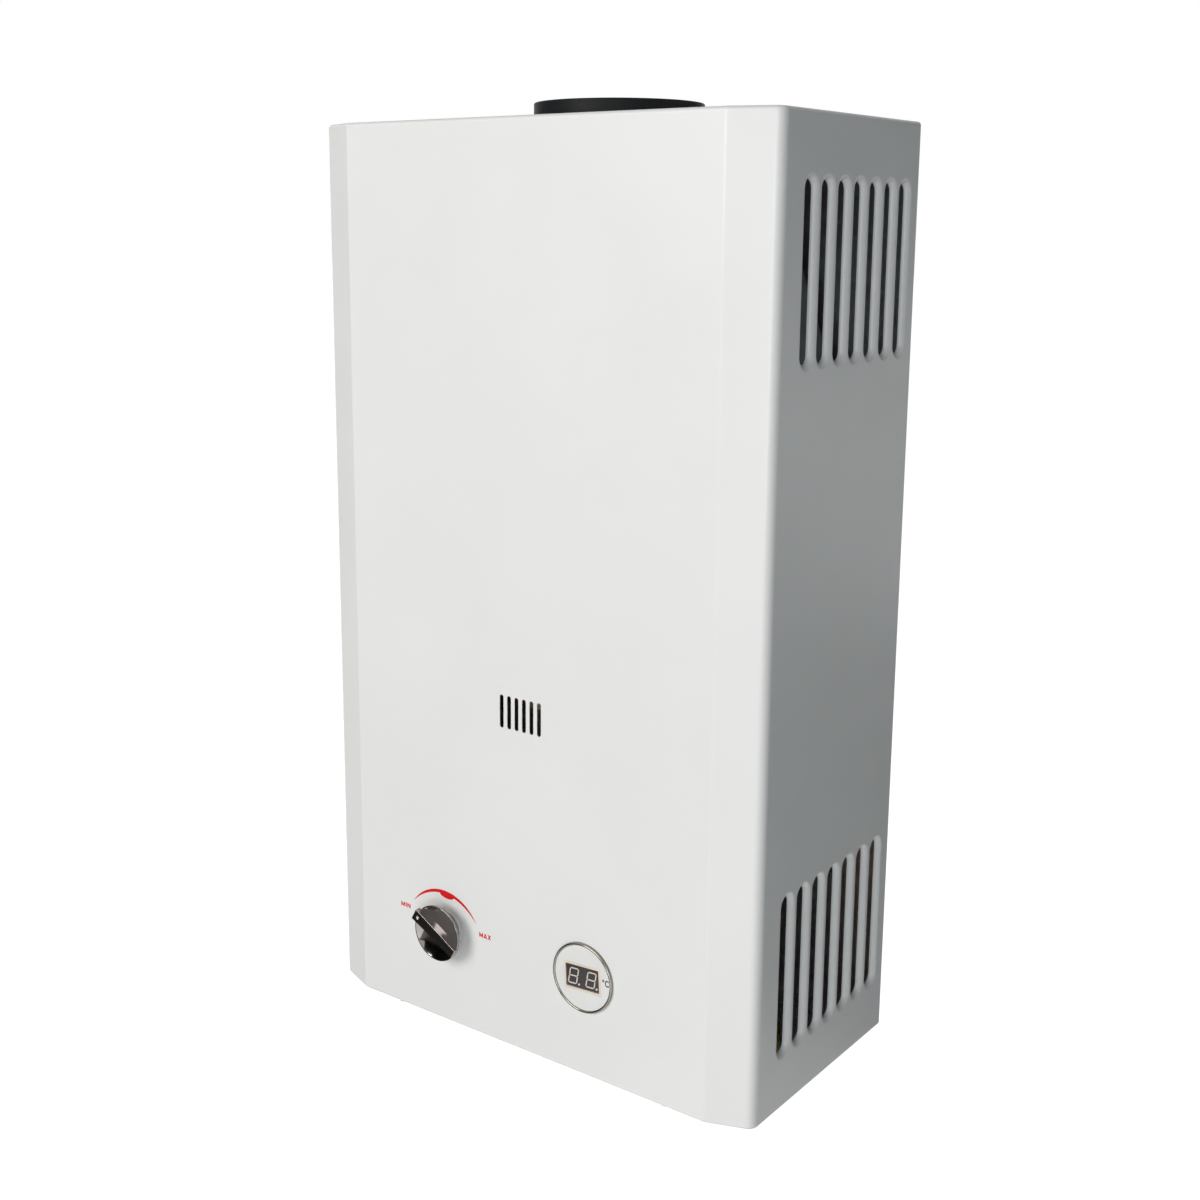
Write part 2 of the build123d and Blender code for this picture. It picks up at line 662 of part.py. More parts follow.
def make_flue_collar():
    """Low round spigot that takes the flue pipe, flanged on to the hood."""
    spigot = rod((0, -flue_out, TOP), UP, COLLAR_RISE, COLLAR_RADIUS, collar_bore)
    rim = spigot.edges().group_by(Axis.Z)[-1].sort_by(SortBy.RADIUS)[-1]
    spigot = fillet(rim, COLLAR_SHEET / 2)
    neck_radius = COLLAR_RADIUS - COLLAR_SWAGE
    neck = rod((0, -flue_out, hood_high), UP, TOP - hood_high, neck_radius, collar_bore)
    outer = COLLAR_RADIUS + COLLAR_FLANGE
    flange = rod((0, -flue_out, hood_high), UP, COLLAR_SHEET, outer, collar_bore)
    return spigot + neck + flange - [screw_hole(seat, inward) for seat, inward in collar_seats]


def make_flue_hood():
    """Draught hood: a skirt on the chamber, sloping sides, a flat top with the flue hole, a relief gap."""
    wide = Plane(origin=(0, -flue_out, 0), x_dir=RIGHT, z_dir=FORWARD)
    deep = Plane(origin=(0, -flue_out, 0), x_dir=BACK, z_dir=RIGHT)
    top_wide = HOOD_TOP_HALF + COLLAR_FLANGE / 2
    top_deep = COLLAR_RADIUS + COLLAR_FLANGE + HOOD_LIP

    def gable(half, top_half, inset, low):
        knee = hood_low + HOOD_SKIRT
        neck = hood_high - HOOD_SHOULDER
        base, top = half - inset, top_half - inset
        right = [(base, low), (base, knee), (top, neck), (top, hood_high - inset)]
        left = [(-u, z) for u, z in reversed(right)]
        return extrude(Polygon(*right, *left, align=None), COVER_WIDTH, both=True)

    def filled(inset, low):
        front = wide * gable(chamber_half, top_wide, inset, low)
        return front & deep * gable(chamber_depth / 2, top_deep, inset, low)

    hood = filled(0, hood_low) - filled(HOOD_SHEET, hood_low - OVERRUN)
    hood -= rod((0, -flue_out, hood_high - HOOD_SHEET - OVERRUN), UP, 2 * OVERRUN + HOOD_SHEET, collar_bore)
    relief_low = hood_low + (HOOD_SKIRT - RELIEF_HEIGHT) / 2
    hood -= block(
        (-relief_width / 2, relief_width / 2),
        (chamber_front - OVERRUN, chamber_front + HOOD_SHEET + OVERRUN),
        (relief_low, relief_low + RELIEF_HEIGHT),
    )
    return hood - [screw_hole(seat, inward) for seat, inward in collar_seats]


def make_combustion_chamber():
    """Copper sheet shaft round the flames and the fin block, with a window and electrode holes."""
    outer = block((-chamber_half, chamber_half), (chamber_front, chamber_back), (chamber_low, chamber_high))
    inner_half = chamber_half - CHAMBER_SHEET
    inner = block(
        (-inner_half, inner_half),
        (chamber_front + CHAMBER_SHEET, chamber_back - CHAMBER_SHEET),
        (chamber_low - OVERRUN, chamber_high + OVERRUN),
    )
    shaft = outer - inner
    for y in tube_rows:
        reach = chamber_half + OVERRUN
        shaft -= rod((-reach, y, tube_z), RIGHT, 2 * reach, TUBE_RADIUS + TUBE_FIT)
    front_cut = (chamber_front - OVERRUN, chamber_front + CHAMBER_SHEET + OVERRUN)
    shaft -= block((-WINDOW_WIDTH / 2, WINDOW_WIDTH / 2), front_cut, (window_low, window_high))
    for x in (-ELECTRODE_X, ELECTRODE_X):
        base = (x, chamber_front - OVERRUN, BOTTOM + ELECTRODE_UP)
        shaft -= rod(base, BACK, CHAMBER_SHEET + 2 * OVERRUN, INSULATOR_RADIUS + ELECTRODE_FIT)
    return shaft


def make_view_window():
    """Mica pane over the viewing hole of the combustion chamber."""
    half = WINDOW_WIDTH / 2 + WINDOW_BORDER
    height = (window_low - WINDOW_BORDER, window_high + WINDOW_BORDER)
    return block((-half, half), (chamber_front - WINDOW_PANE, chamber_front), height)


def make_exchanger_fins():
    """Copper fins across the top of the chamber, each pierced by every water tube."""
    depth = (chamber_front + CHAMBER_SHEET + FIN_FIT, chamber_back - CHAMBER_SHEET - FIN_FIT)
    fin = block((-FIN_SHEET / 2, FIN_SHEET / 2), depth, (fin_low, fin_high))
    fin -= [
        rod((-FIN_SHEET, y, tube_z), RIGHT, 2 * FIN_SHEET, TUBE_RADIUS + TUBE_FIT) for y in tube_rows
    ]
    return [Pos((i - (FIN_COUNT - 1) / 2) * fin_pitch, 0, 0) * fin for i in range(FIN_COUNT)]


def make_exchanger_tube():
    """One water tube that runs to and fro through the fins, with a return bend at each turn."""
    bore = TUBE_RADIUS - TUBE_WALL
    tube = rod((-tube_end, tube_rows[0], tube_z), RIGHT, 2 * tube_end, TUBE_RADIUS, bore)
    for i in range(1, TUBE_COUNT):
        tube += rod((-tube_end, tube_rows[i], tube_z), RIGHT, 2 * tube_end, TUBE_RADIUS, bore)
        side = 1 if i % 2 else -1
        start = (side * tube_end, tube_rows[i - 1], tube_z)
        ring = Plane(origin=start, z_dir=(side, 0, 0)) * (Circle(TUBE_RADIUS) - Circle(bore))
        middle = (side * tube_end, (tube_rows[i - 1] + tube_rows[i]) / 2, tube_z)
        tube += revolve(ring, axis=Axis(middle, (0, 0, side)), revolution_arc=180)
    return tube


def bracket(x, middle_z, back, front):
    """A Z-shaped sheet bracket between two upright faces, with one foot up and one foot down."""
    half = BRACKET_SHEET / 2
    outline = [
        (back, middle_z + half),
        (front + BRACKET_SHEET, middle_z + half),
        (front + BRACKET_SHEET, middle_z + BRACKET_FOOT),
        (front, middle_z + BRACKET_FOOT),
        (front, middle_z - half),
        (back - BRACKET_SHEET, middle_z - half),
        (back - BRACKET_SHEET, middle_z - BRACKET_FOOT),
        (back, middle_z - BRACKET_FOOT),
    ]
    side = Plane(origin=(x - BRACKET_WIDTH / 2, 0, 0), x_dir=BACK, z_dir=RIGHT)
    return side * extrude(Polygon(*outline, align=None), BRACKET_WIDTH)


def make_chamber_brackets():
    """Four sheet brackets that hold the burner tray and the chamber off the back plate."""
    heights = (BOTTOM + TRAY_BRACKET_UP, BOTTOM + CHAMBER_BRACKET_UP)
    return [bracket(x, z, plate_front, chamber_back) for x in (-bracket_x, bracket_x) for z in heights]


bar_places = [(i - (BAR_COUNT - 1) / 2) * bar_pitch for i in range(BAR_COUNT)]
nozzle_z = BOTTOM + NOZZLE_UP
manifold_back = chamber_front - MANIFOLD_STANDOFF
manifold_front = manifold_back - MANIFOLD_DEPTH


def make_burner_tray():
    """Open sheet frame that carries the burner bars on two ledges, with an air mouth for each bar."""
    height = (tray_low, tray_high)
    inner_half = chamber_half - TRAY_SHEET
    depth = (chamber_front + TRAY_SHEET, chamber_back - TRAY_SHEET)
    tray = block((-chamber_half, chamber_half), (chamber_front, chamber_back), height)
    tray -= block((-inner_half, inner_half), depth, (tray_low - OVERRUN, tray_high + OVERRUN))
    floor = (tray_low, tray_low + TRAY_SHEET)
    tray += block((-inner_half, inner_half), (depth[0], depth[0] + TRAY_LEDGE), floor)
    tray += block((-inner_half, inner_half), (depth[1] - TRAY_LEDGE, depth[1]), floor)
    cut = TRAY_SHEET + 2 * OVERRUN
    tray -= [rod((x, chamber_front - OVERRUN, nozzle_z), BACK, cut, AIR_MOUTH_RADIUS) for x in bar_places]
    return tray


def make_burner_bars():
    """Hollow pressed burner bars with a row of flame slots on top and a venturi mouth in front."""
    low = tray_low + TRAY_SHEET
    high = low + BAR_HEIGHT
    front = chamber_front + TRAY_SHEET + BAR_FIT
    back = chamber_back - TRAY_SHEET - BAR_FIT
    half = BAR_WIDTH / 2
    bar = block((-half, half), (front, back), (low, high))
    bar = fillet(bar.edges().filter_by(Axis.Y).group_by(Axis.Z)[-1], half / 2)
    hollow = block(
        (-half + BAR_WALL, half - BAR_WALL),
        (front + BAR_WALL, back - BAR_WALL),
        (low + BAR_WALL, high - 2 * BAR_WALL),
    )
    bar -= hollow
    bar -= rod((0, front - OVERRUN, nozzle_z), BACK, BAR_WALL + 2 * OVERRUN, VENTURI_RADIUS)
    step = (back - front) / (BAR_SLOT_COUNT + 1)
    for i in range(BAR_SLOT_COUNT):
        y = front + (i + 1) * step
        bar -= block(
            (-half / 2, half / 2),
            (y - BAR_SLOT_WIDTH / 2, y + BAR_SLOT_WIDTH / 2),
            (high - 3 * BAR_WALL, high + OVERRUN),
        )
    return [Pos(x, 0, 0) * bar for x in bar_places]


def make_gas_manifold():
    """Gas rail along the front of the burner, with a lug at each end on the tray's front wall."""
    half = chamber_half - LUG_WIDTH
    height = (nozzle_z - MANIFOLD_SIDE / 2, nozzle_z + MANIFOLD_SIDE / 2)
    rail = block((-half, half), (manifold_front, manifold_back), height)
    for s in (-1, 1):
        lug = (s * half, s * (half - LUG_WIDTH))
        rail += block(lug, (manifold_back, chamber_front), height)
    middle_y = (manifold_front + manifold_back) / 2
    rail -= rod((-half + LUG_WIDTH, middle_y, nozzle_z), RIGHT, 2 * (half - LUG_WIDTH), MANIFOLD_BORE)
    rail -= rod((knob_x, middle_y, nozzle_z), DOWN, MANIFOLD_SIDE, MANIFOLD_BORE)
    rail -= [rod((x, middle_y, nozzle_z), BACK, MANIFOLD_DEPTH, NOZZLE_JET) for x in bar_places]
    return rail


def make_gas_nozzles():
    """One brass injector for each burner bar, seated on the back of the manifold."""
    nozzles = []
    for x in bar_places:
        seat = (x, manifold_back, nozzle_z)
        nozzle = rod(seat, BACK, NOZZLE_BASE_LENGTH, NOZZLE_BASE_RADIUS, NOZZLE_JET)
        tip = (x, manifold_back + NOZZLE_BASE_LENGTH, nozzle_z)
        nozzles.append(nozzle + rod(tip, BACK, NOZZLE_TIP_LENGTH, NOZZLE_TIP_RADIUS, NOZZLE_JET))
    return nozzles


plate_face = chamber_front - ELECTRODE_PLATE
electrode_z = BOTTOM + ELECTRODE_UP


def make_electrode_brackets():
    """Two small plates on the chamber's front that carry the electrodes."""
    plates = []
    for x in (-ELECTRODE_X, ELECTRODE_X):
        half = ELECTRODE_PLATE_WIDTH / 2
        height = (electrode_z - ELECTRODE_PLATE_HEIGHT / 2, electrode_z + ELECTRODE_PLATE_HEIGHT / 2)
        plate = block((x - half, x + half), (plate_face, chamber_front), height)
        hole = rod(
            (x, plate_face - OVERRUN, electrode_z),
            BACK,
            ELECTRODE_PLATE + 2 * OVERRUN,
            INSULATOR_RADIUS + ELECTRODE_FIT,
        )
        plates.append(plate - hole)
    return plates


def make_electrode_insulators():
    """Ceramic sleeves of the two electrodes, each with a flange on its plate."""
    sleeves = []
    bore = ELECTRODE_RADIUS + ELECTRODE_FIT
    flange_front = plate_face - INSULATOR_FLANGE
    back_end = chamber_front + CHAMBER_SHEET + INSULATOR_REACH
    front_end = flange_front - INSULATOR_BACK
    for x in (-ELECTRODE_X, ELECTRODE_X):
        sleeve = rod((x, front_end, electrode_z), BACK, back_end - front_end, INSULATOR_RADIUS)
        sleeve += rod((x, flange_front, electrode_z), BACK, INSULATOR_FLANGE, INSULATOR_FLANGE_RADIUS)
        sleeve -= rod((x, front_end - OVERRUN, electrode_z), BACK, COVER_DEPTH, bore)
        sleeves.append(sleeve)
    return sleeves


def electrode_pin(x):
    """A round electrode that runs through its ceramic sleeve and out over the burner."""
    front_end = plate_face - INSULATOR_FLANGE - INSULATOR_BACK
    back_end = chamber_front + CHAMBER_SHEET + INSULATOR_REACH + ELECTRODE_REACH
    return rod((x, front_end, electrode_z), BACK, back_end - front_end, ELECTRODE_RADIUS)


def make_gas_feed_pipe():
    """Bent pipe from the gas valve's outlet, forward and up into the manifold."""
    middle_y = (manifold_front + manifold_back) / 2
    turn = BOTTOM + FEED_TURN_UP
    points = [
        (knob_x, valve_y, gas_high),
        (knob_x, valve_y, turn),
        (knob_x, middle_y, turn),
        (knob_x, middle_y, nozzle_z - MANIFOLD_SIDE / 2),
    ]
    return pipe(points, [PIPE_BEND, PIPE_BEND], PIPE_RADIUS, PIPE_BORE)


def make_cold_pipe():
    """Bent pipe from the water valve up the left side to the first exchanger tube."""
    turn = BOTTOM + COLD_TURN_UP
    points = [
        (cold_x, valve_y, water_boss_high),
        (cold_x, valve_y, turn),
        (-pipe_x, tube_rows[0], (turn + tube_z) / 2),
        (-pipe_x, tube_rows[0], tube_z),
        (-tube_end, tube_rows[0], tube_z),
    ]
    return pipe(points, [PIPE_BEND, PIPE_BEND, ELBOW_BEND], PIPE_RADIUS, PIPE_BORE)


def make_hot_pipe():
    """Bent pipe from the last exchanger tube down the right side to the hot outlet."""
    points = [
        (tube_end, tube_rows[-1], tube_z),
        (pipe_x, tube_rows[-1], tube_z),
        (pipe_x, tube_rows[-1], BOTTOM + HOT_TURN_UP),
        (hot_x, valve_y, (BOTTOM + HOT_TURN_UP + hot_top) / 2),
        (hot_x, valve_y, hot_top),
    ]
    return pipe(points, [ELBOW_BEND, PIPE_BEND, PIPE_BEND], PIPE_RADIUS, PIPE_BORE)


hot_top = BOTTOM + HOT_FITTING_UP + WASHER
fitting_low = BOTTOM - FITTING_DROP


def fitting(x, top):
    """A brass connection: male pipe thread below the floor, a hexagon on the floor, a neck above it."""
    shape = rod((x, valve_y, fitting_low), UP, THREAD_LENGTH, THREAD_RADIUS)
    shape += hexagon((x, valve_y, panel_high), UP, HEX_HEIGHT, HEX_ACROSS)
    shape += rod((x, valve_y, fitting_low), UP, top - fitting_low, FITTING_NECK_RADIUS)
    return shape - rod((x, valve_y, fitting_low - OVERRUN), UP, COVER_HEIGHT, THREAD_BORE)


def make_inlet_strainer():
    """Mesh cup in the mouth of the cold inlet."""
    radius = THREAD_BORE - TUBE_FIT
    cup = rod((cold_x, valve_y, fitting_low), UP, STRAINER_LENGTH, radius)
    hollow = STRAINER_LENGTH - STRAINER_WALL
    return cup - rod((cold_x, valve_y, fitting_low), UP, hollow, radius - STRAINER_WALL)


def make_seal_washers():
    """Fibre washers between the three connections and the pieces that they feed."""
    seats = [(cold_x, water_boss_low), (gas_x, gas_low), (hot_x, hot_top)]
    inner = THREAD_BORE
    return [rod((x, valve_y, top - WASHER), UP, WASHER, FITTING_NECK_RADIUS, inner) for x, top in seats]


valve_ring = VALVE_SCREW_RING / math.sqrt(2)
ring_corners = [(y, z) for y in (-1, 1) for z in (-1, 1)]
water_seats = [(yoke_left, valve_y + y * valve_ring, valve_z + z * valve_ring) for y, z in ring_corners]
flange_corner = GAS_BODY_HALF - SCREW_HEAD_RADIUS - TOUCH
solenoid_seat_x = gas_right + SOLENOID_FLANGE
solenoid_seats = [
    (solenoid_seat_x, valve_y + y * flange_corner, valve_z + z * flange_corner) for y, z in ring_corners
]


def cap_screw_holes(seats):
    """Clearance holes of the valve's cap screws, a little deeper than the screws."""
    return [rod(seat, LEFT, CAP_SCREW_LENGTH + OVERRUN, SCREW_RADIUS + SCREW_FIT) for seat in seats]


def make_water_valve_body():
    """Round brass body under the diaphragm, with the inlet, outlet and drain bosses."""
    body = rod((water_left, valve_y, valve_z), RIGHT, WATER_BODY_LENGTH, WATER_RADIUS)
    upright = block(
        (cold_x - WATER_BOSS_RADIUS, cold_x + WATER_BOSS_RADIUS),
        (valve_y - WATER_BOSS_RADIUS, valve_y + WATER_BOSS_RADIUS),
        (water_boss_low, water_boss_high),
    )
    drain_low = BOTTOM + DRAIN_BOSS_UP
    drain_boss = rod((cold_x, valve_y - DRAIN_OUT, drain_low), UP, valve_z - drain_low, DRAIN_BOSS_RADIUS)
    body = body + upright + drain_boss
    cavity = WATER_BODY_LENGTH - 2 * GAS_WALL
    body -= rod((water_joint - cavity, valve_y, valve_z), RIGHT, cavity, WATER_CAVITY_RADIUS)
    body -= rod((cold_x, valve_y, water_boss_low), UP, 2 * WATER_BOSS_REACH, PIPE_BORE)
    bore = DRAIN_STEM_RADIUS + RUNNING_FIT
    body -= rod((cold_x, valve_y - DRAIN_OUT, drain_low), UP, valve_z - drain_low, bore)
    return body - cap_screw_holes(water_seats)


def make_water_valve_cover():
    """Upper half of the water section: clamps the diaphragm and reaches the gas body on two arms."""
    cover = rod((water_joint, valve_y, valve_z), RIGHT, WATER_COVER_LENGTH, WATER_RADIUS)
    cover -= rod((water_joint, valve_y, valve_z), RIGHT, DIAPHRAGM, DIAPHRAGM_RADIUS)
    cover -= rod((water_joint, valve_y, valve_z), RIGHT, DIAPHRAGM + WATER_CAVITY, WATER_CAVITY_RADIUS)
    cover -= rod((water_joint, valve_y, valve_z), RIGHT, WATER_COVER_LENGTH, STEM_RADIUS + RUNNING_FIT)
    for s in (-1, 1):
        arm_y = valve_y + s * YOKE_ARM_OFFSET
        cover += block(
            (yoke_left, gas_left),
            (arm_y - YOKE_ARM_WIDTH / 2, arm_y + YOKE_ARM_WIDTH / 2),
            (valve_z - YOKE_ARM_HEIGHT / 2, valve_z + YOKE_ARM_HEIGHT / 2),
        )
    return cover - cap_screw_holes(water_seats)


def make_diaphragm():
    """Round rubber sheet clamped between the two halves of the water section."""
    return rod((water_joint, valve_y, valve_z), RIGHT, DIAPHRAGM, DIAPHRAGM_RADIUS)


plate_left = water_joint + DIAPHRAGM + STEM_GAP
poppet_left = stem_low + STEM_GAP
collar_left = yoke_left + STEM_COLLAR_PLACE


def make_push_rod():
    """Stem that the diaphragm pushes: its round plate, a collar for the switch, the plain rod."""
    stem = rod((plate_left, valve_y, valve_z), RIGHT, poppet_left - plate_left, STEM_RADIUS)
    stem += rod((plate_left, valve_y, valve_z), RIGHT, STEM_PLATE, STEM_PLATE_RADIUS)
    return stem + rod((collar_left, valve_y, valve_z), RIGHT, STEM_COLLAR, STEM_COLLAR_RADIUS)


def make_gas_poppet():
    """Main gas valve disc on the end of the push rod."""
    return rod((poppet_left, valve_y, valve_z), RIGHT, POPPET, POPPET_RADIUS)


def sleeve_spring(left, right, radius):
    """A hidden coil spring drawn as a plain sleeve of its outer and inner size."""
    return rod((left, valve_y, valve_z), RIGHT, right - left, radius, radius - SPRING_WALL)


def make_gas_valve_body():
    """Cast gas body: three chambers in line, two seats, the regulator boss, an inlet and an outlet."""
    half = GAS_BODY_HALF
    body = block((gas_left, gas_right), (gas_front, gas_back), (gas_low, gas_high))
    body = fillet(body.edges().filter_by(Axis.X), GAS_WALL / 2)
    body += rod((knob_x, gas_front, valve_z), FORWARD, PLUG_BOSS_LENGTH, PLUG_RADIUS + PLUG_BOSS_WALL)
    axis_point = (gas_left - OVERRUN, valve_y, valve_z)
    body -= rod(axis_point, RIGHT, GAS_WALL + 2 * OVERRUN, STEM_RADIUS + RUNNING_FIT)
    body -= rod((outlet_low, valve_y, valve_z), RIGHT, inlet_low - outlet_low, SEAT_RADIUS)
    for low, length in (
        (outlet_low, OUTLET_CHAMBER),
        (stem_low, STEM_CHAMBER),
        (inlet_low, INLET_CHAMBER),
    ):
        body -= rod((low, valve_y, valve_z), RIGHT, length, CHAMBER_BORE)
    plug_bore = PLUG_RADIUS + RUNNING_FIT
    body -= rod((knob_x, boss_front, valve_z), BACK, valve_y - boss_front, plug_bore)
    body -= rod((knob_x, valve_y, valve_z), UP, half + OVERRUN, PIPE_BORE)
    body -= rod((gas_x, valve_y, valve_z), DOWN, half + OVERRUN, PIPE_BORE)
    return body - cap_screw_holes(solenoid_seats)


def make_solenoid_coil():
    """Safety solenoid: a square flange that closes the gas body and the round coil can."""
    flange = block(
        (gas_right, solenoid_seat_x),
        (gas_front, gas_back),
        (gas_low, gas_high),
    )
    flange = fillet(flange.edges().filter_by(Axis.X), GAS_WALL / 2)
    can = rod((solenoid_seat_x, valve_y, valve_z), RIGHT, SOLENOID_LENGTH, SOLENOID_RADIUS)
    can = fillet(can.edges().group_by(Axis.X)[-1], SOLENOID_FLANGE / 2)
    depth = SOLENOID_FLANGE + SOLENOID_LENGTH - SOLENOID_END_WALL
    bore = rod((gas_right, valve_y, valve_z), RIGHT, depth, PLUNGER_RADIUS + RUNNING_FIT)
    return flange + can - bore - cap_screw_holes(solenoid_seats)


disc_left = inlet_low + STEM_GAP


def make_solenoid_plunger():
    """Sliding plunger of the solenoid, with the disc that shuts the gas inlet."""
    end = solenoid_seat_x + SOLENOID_LENGTH - SOLENOID_END_WALL - PLUNGER_TRAVEL - PLUNGER_SPARE
    plunger = rod((disc_left, valve_y, valve_z), RIGHT, end - disc_left, PLUNGER_RADIUS)
    return plunger + rod((disc_left, valve_y, valve_z), RIGHT, PLUNGER_DISC, PLUNGER_DISC_RADIUS)


lever_left = collar_left + STEM_COLLAR + LEVER_GAP
lever_x = lever_left + LEVER_SHEET / 2
lever_pivot_z = valve_z + LEVER_PIVOT_UP
switch_right = knob_x - PIPE_RADIUS - SWITCH_PIPE_GAP
switch_left = lever_x - LEVER_EYE_RADIUS - EAR_FIT


def make_microswitch():
    """Snap switch on top of the gas body, with two ears and a pin for its lever."""
    half = SWITCH_WIDTH / 2
    depth = (valve_y - half, valve_y + half)
    switch = block((switch_left, switch_right), depth, (gas_high, gas_high + SWITCH_HEIGHT))
    ear_inner = LEVER_WIDTH / 2 + EAR_FIT
    for s in (-1, 1):
        ear = (valve_y + s * ear_inner, valve_y + s * (ear_inner + EAR_SHEET))
        ear_x = (lever_x - LEVER_EYE_RADIUS, lever_x + LEVER_EYE_RADIUS)
        switch += block(ear_x, ear, (lever_pivot_z - LEVER_EYE_RADIUS, gas_high))
    pin_start = (lever_x, valve_y - ear_inner - EAR_SHEET, lever_pivot_z)
    return switch + rod(pin_start, BACK, 2 * (ear_inner + EAR_SHEET), LEVER_PIN_RADIUS)


def make_microswitch_lever():
    """Thin lever that hangs from the switch and follows the push rod's collar."""
    half = LEVER_WIDTH / 2
    eye = rod((lever_x, valve_y - half, lever_pivot_z), BACK, LEVER_WIDTH, LEVER_EYE_RADIUS)
    strip = block(
        (lever_left, lever_left + LEVER_SHEET),
        (valve_y - half, valve_y + half),
        (valve_z + LEVER_TIP_UP, lever_pivot_z),
    )
    bore = LEVER_PIN_RADIUS + RUNNING_FIT
    return eye + strip - rod((lever_x, valve_y - half, lever_pivot_z), BACK, LEVER_WIDTH, bore)


def make_regulator_plug():
    """Round plug that the knob turns in the gas body, with a metering slot in its inner end."""
    front = boss_front + PLUG_INSET
    back = valve_y - STEM_RADIUS - PLUG_ROD_GAP
    plug = rod((knob_x, front, valve_z), BACK, back - front, PLUG_RADIUS)
    return plug - block(
        (knob_x - PLUG_SLOT / 2, knob_x + PLUG_SLOT / 2),
        (back - PLUG_RADIUS, back + OVERRUN),
        (valve_z - PLUG_RADIUS - OVERRUN, valve_z + PLUG_RADIUS + OVERRUN),
    )


def make_spindle_bush():
    """Gland bush on the regulator boss that guides the spindle."""
    flange_radius = PLUG_RADIUS + PLUG_BOSS_WALL
    bore = SPINDLE_RADIUS + RUNNING_FIT
    bush = rod((knob_x, boss_front, valve_z), FORWARD, BUSH_FLANGE, flange_radius, bore)
    nose = (knob_x, boss_front - BUSH_FLANGE, valve_z)
    return bush + rod(nose, FORWARD, BUSH_NOSE, BUSH_NOSE_RADIUS, bore)


def make_knob_spindle():
    """Round spindle from the regulator plug out through the front panel into the knob."""
    start = boss_front + PLUG_INSET
    return rod((knob_x, start, valve_z), FORWARD, start - spindle_tip, SPINDLE_RADIUS)


def make_knob_plinth():
    """White ring in the panel hole that the knob stands in front of."""
    plinth = rod((knob_x, FRONT, valve_z), FORWARD, PLINTH_HEIGHT, PLINTH_RADIUS, PLINTH_BORE)
    neck = rod((knob_x, FRONT, valve_z), BACK, SHEET + PLINTH_HEIGHT, PLINTH_NECK, PLINTH_BORE)
    return plinth + neck


def make_control_knob():
    """Round knob that narrows to its back, with a straight grip bar and a dished hollow on each side of it."""
    band_low = KNOB_RIM - KNOB_RIM_BAND
    section = Polygon(
        (0, 0), (KNOB_BACK_RADIUS, 0), (KNOB_RADIUS, band_low), (KNOB_RADIUS, KNOB_RIM), (0, KNOB_RIM), align=None
    )
    knob = revolve(Plane.XZ * section, axis=Axis.Z)
    half = KNOB_BAR_WIDTH / 2
    bar_span = (-KNOB_RADIUS, KNOB_RADIUS + KNOB_BAR_NOSE)
    dish_half = KNOB_RADIUS - KNOB_RIM_WIDTH
    dish_radius = (dish_half**2 + KNOB_DISH**2) / (2 * KNOB_DISH)
    dish = Pos(0, 0, KNOB_RIM - KNOB_DISH + dish_radius) * Sphere(dish_radius)
    knob -= dish - block(bar_span, (-half, half), (0, KNOB_HEIGHT))
    knob += block(bar_span, (-half, half), (band_low, KNOB_HEIGHT))
    top_edges = knob.edges().filter_by(Axis.X).group_by(Axis.Z)[-1]
    knob = fillet(top_edges, KNOB_BAR_ROUND)
    knob -= Cylinder(SPINDLE_RADIUS + TUBE_FIT, SPINDLE_SEAT, align=(Align.CENTER, Align.CENTER, Align.MIN))
    place = Plane(origin=(knob_x, knob_back, valve_z), x_dir=RIGHT, z_dir=FORWARD)
    return place * Rot(0, 0, KNOB_POINTER_ANGLE) * knob


def make_drain_plug():
    """Turning drain plug under the water section: stem in its boss, round cap with a grip bar."""
    y = valve_y - DRAIN_OUT
    boss_low = BOTTOM + DRAIN_BOSS_UP
    cap_low = BOTTOM - DRAIN_CAP_DROP
    cap_high = boss_low - DRAIN_GAP
    plug = rod((cold_x, y, cap_low), UP, cap_high - cap_low, DRAIN_CAP_RADIUS)
    plug += rod((cold_x, y, cap_high), UP, (valve_z - cap_high) / 2, DRAIN_STEM_RADIUS)
    grip_half = DRAIN_GRIP_WIDTH / 2
    return plug + block(
        (cold_x - DRAIN_CAP_RADIUS + TOUCH, cold_x + DRAIN_CAP_RADIUS - TOUCH),
        (y - grip_half, y + grip_half),
        (cap_low - DRAIN_GRIP_HEIGHT, cap_low),
    )


def make_valve_bracket():
    """Sheet bracket between the back plate and the back of the gas body."""
    return bracket(knob_x, valve_z, plate_front, gas_back)


def make_igniter_box():
    """Pulse igniter and control box on the back plate."""
    middle = BOTTOM + IGNITER_UP
    case = block(
        (igniter_x - IGNITER_WIDTH / 2, igniter_x + IGNITER_WIDTH / 2),
        (plate_front - IGNITER_DEPTH, plate_front),
        (middle - IGNITER_HEIGHT / 2, middle + IGNITER_HEIGHT / 2),
    )
    return fillet(case.faces().sort_by(Axis.Y)[0].edges(), IGNITER_ROUND)


def make_thermostat():
    """Overheat cut-out on the right wall of the combustion chamber."""
    seat = (chamber_half, -flue_out, BOTTOM + THERMOSTAT_UP)
    flange = rod(seat, RIGHT, THERMOSTAT_FLANGE, THERMOSTAT_FLANGE_RADIUS)
    return flange + rod(seat, RIGHT, THERMOSTAT_HEIGHT, THERMOSTAT_RADIUS)


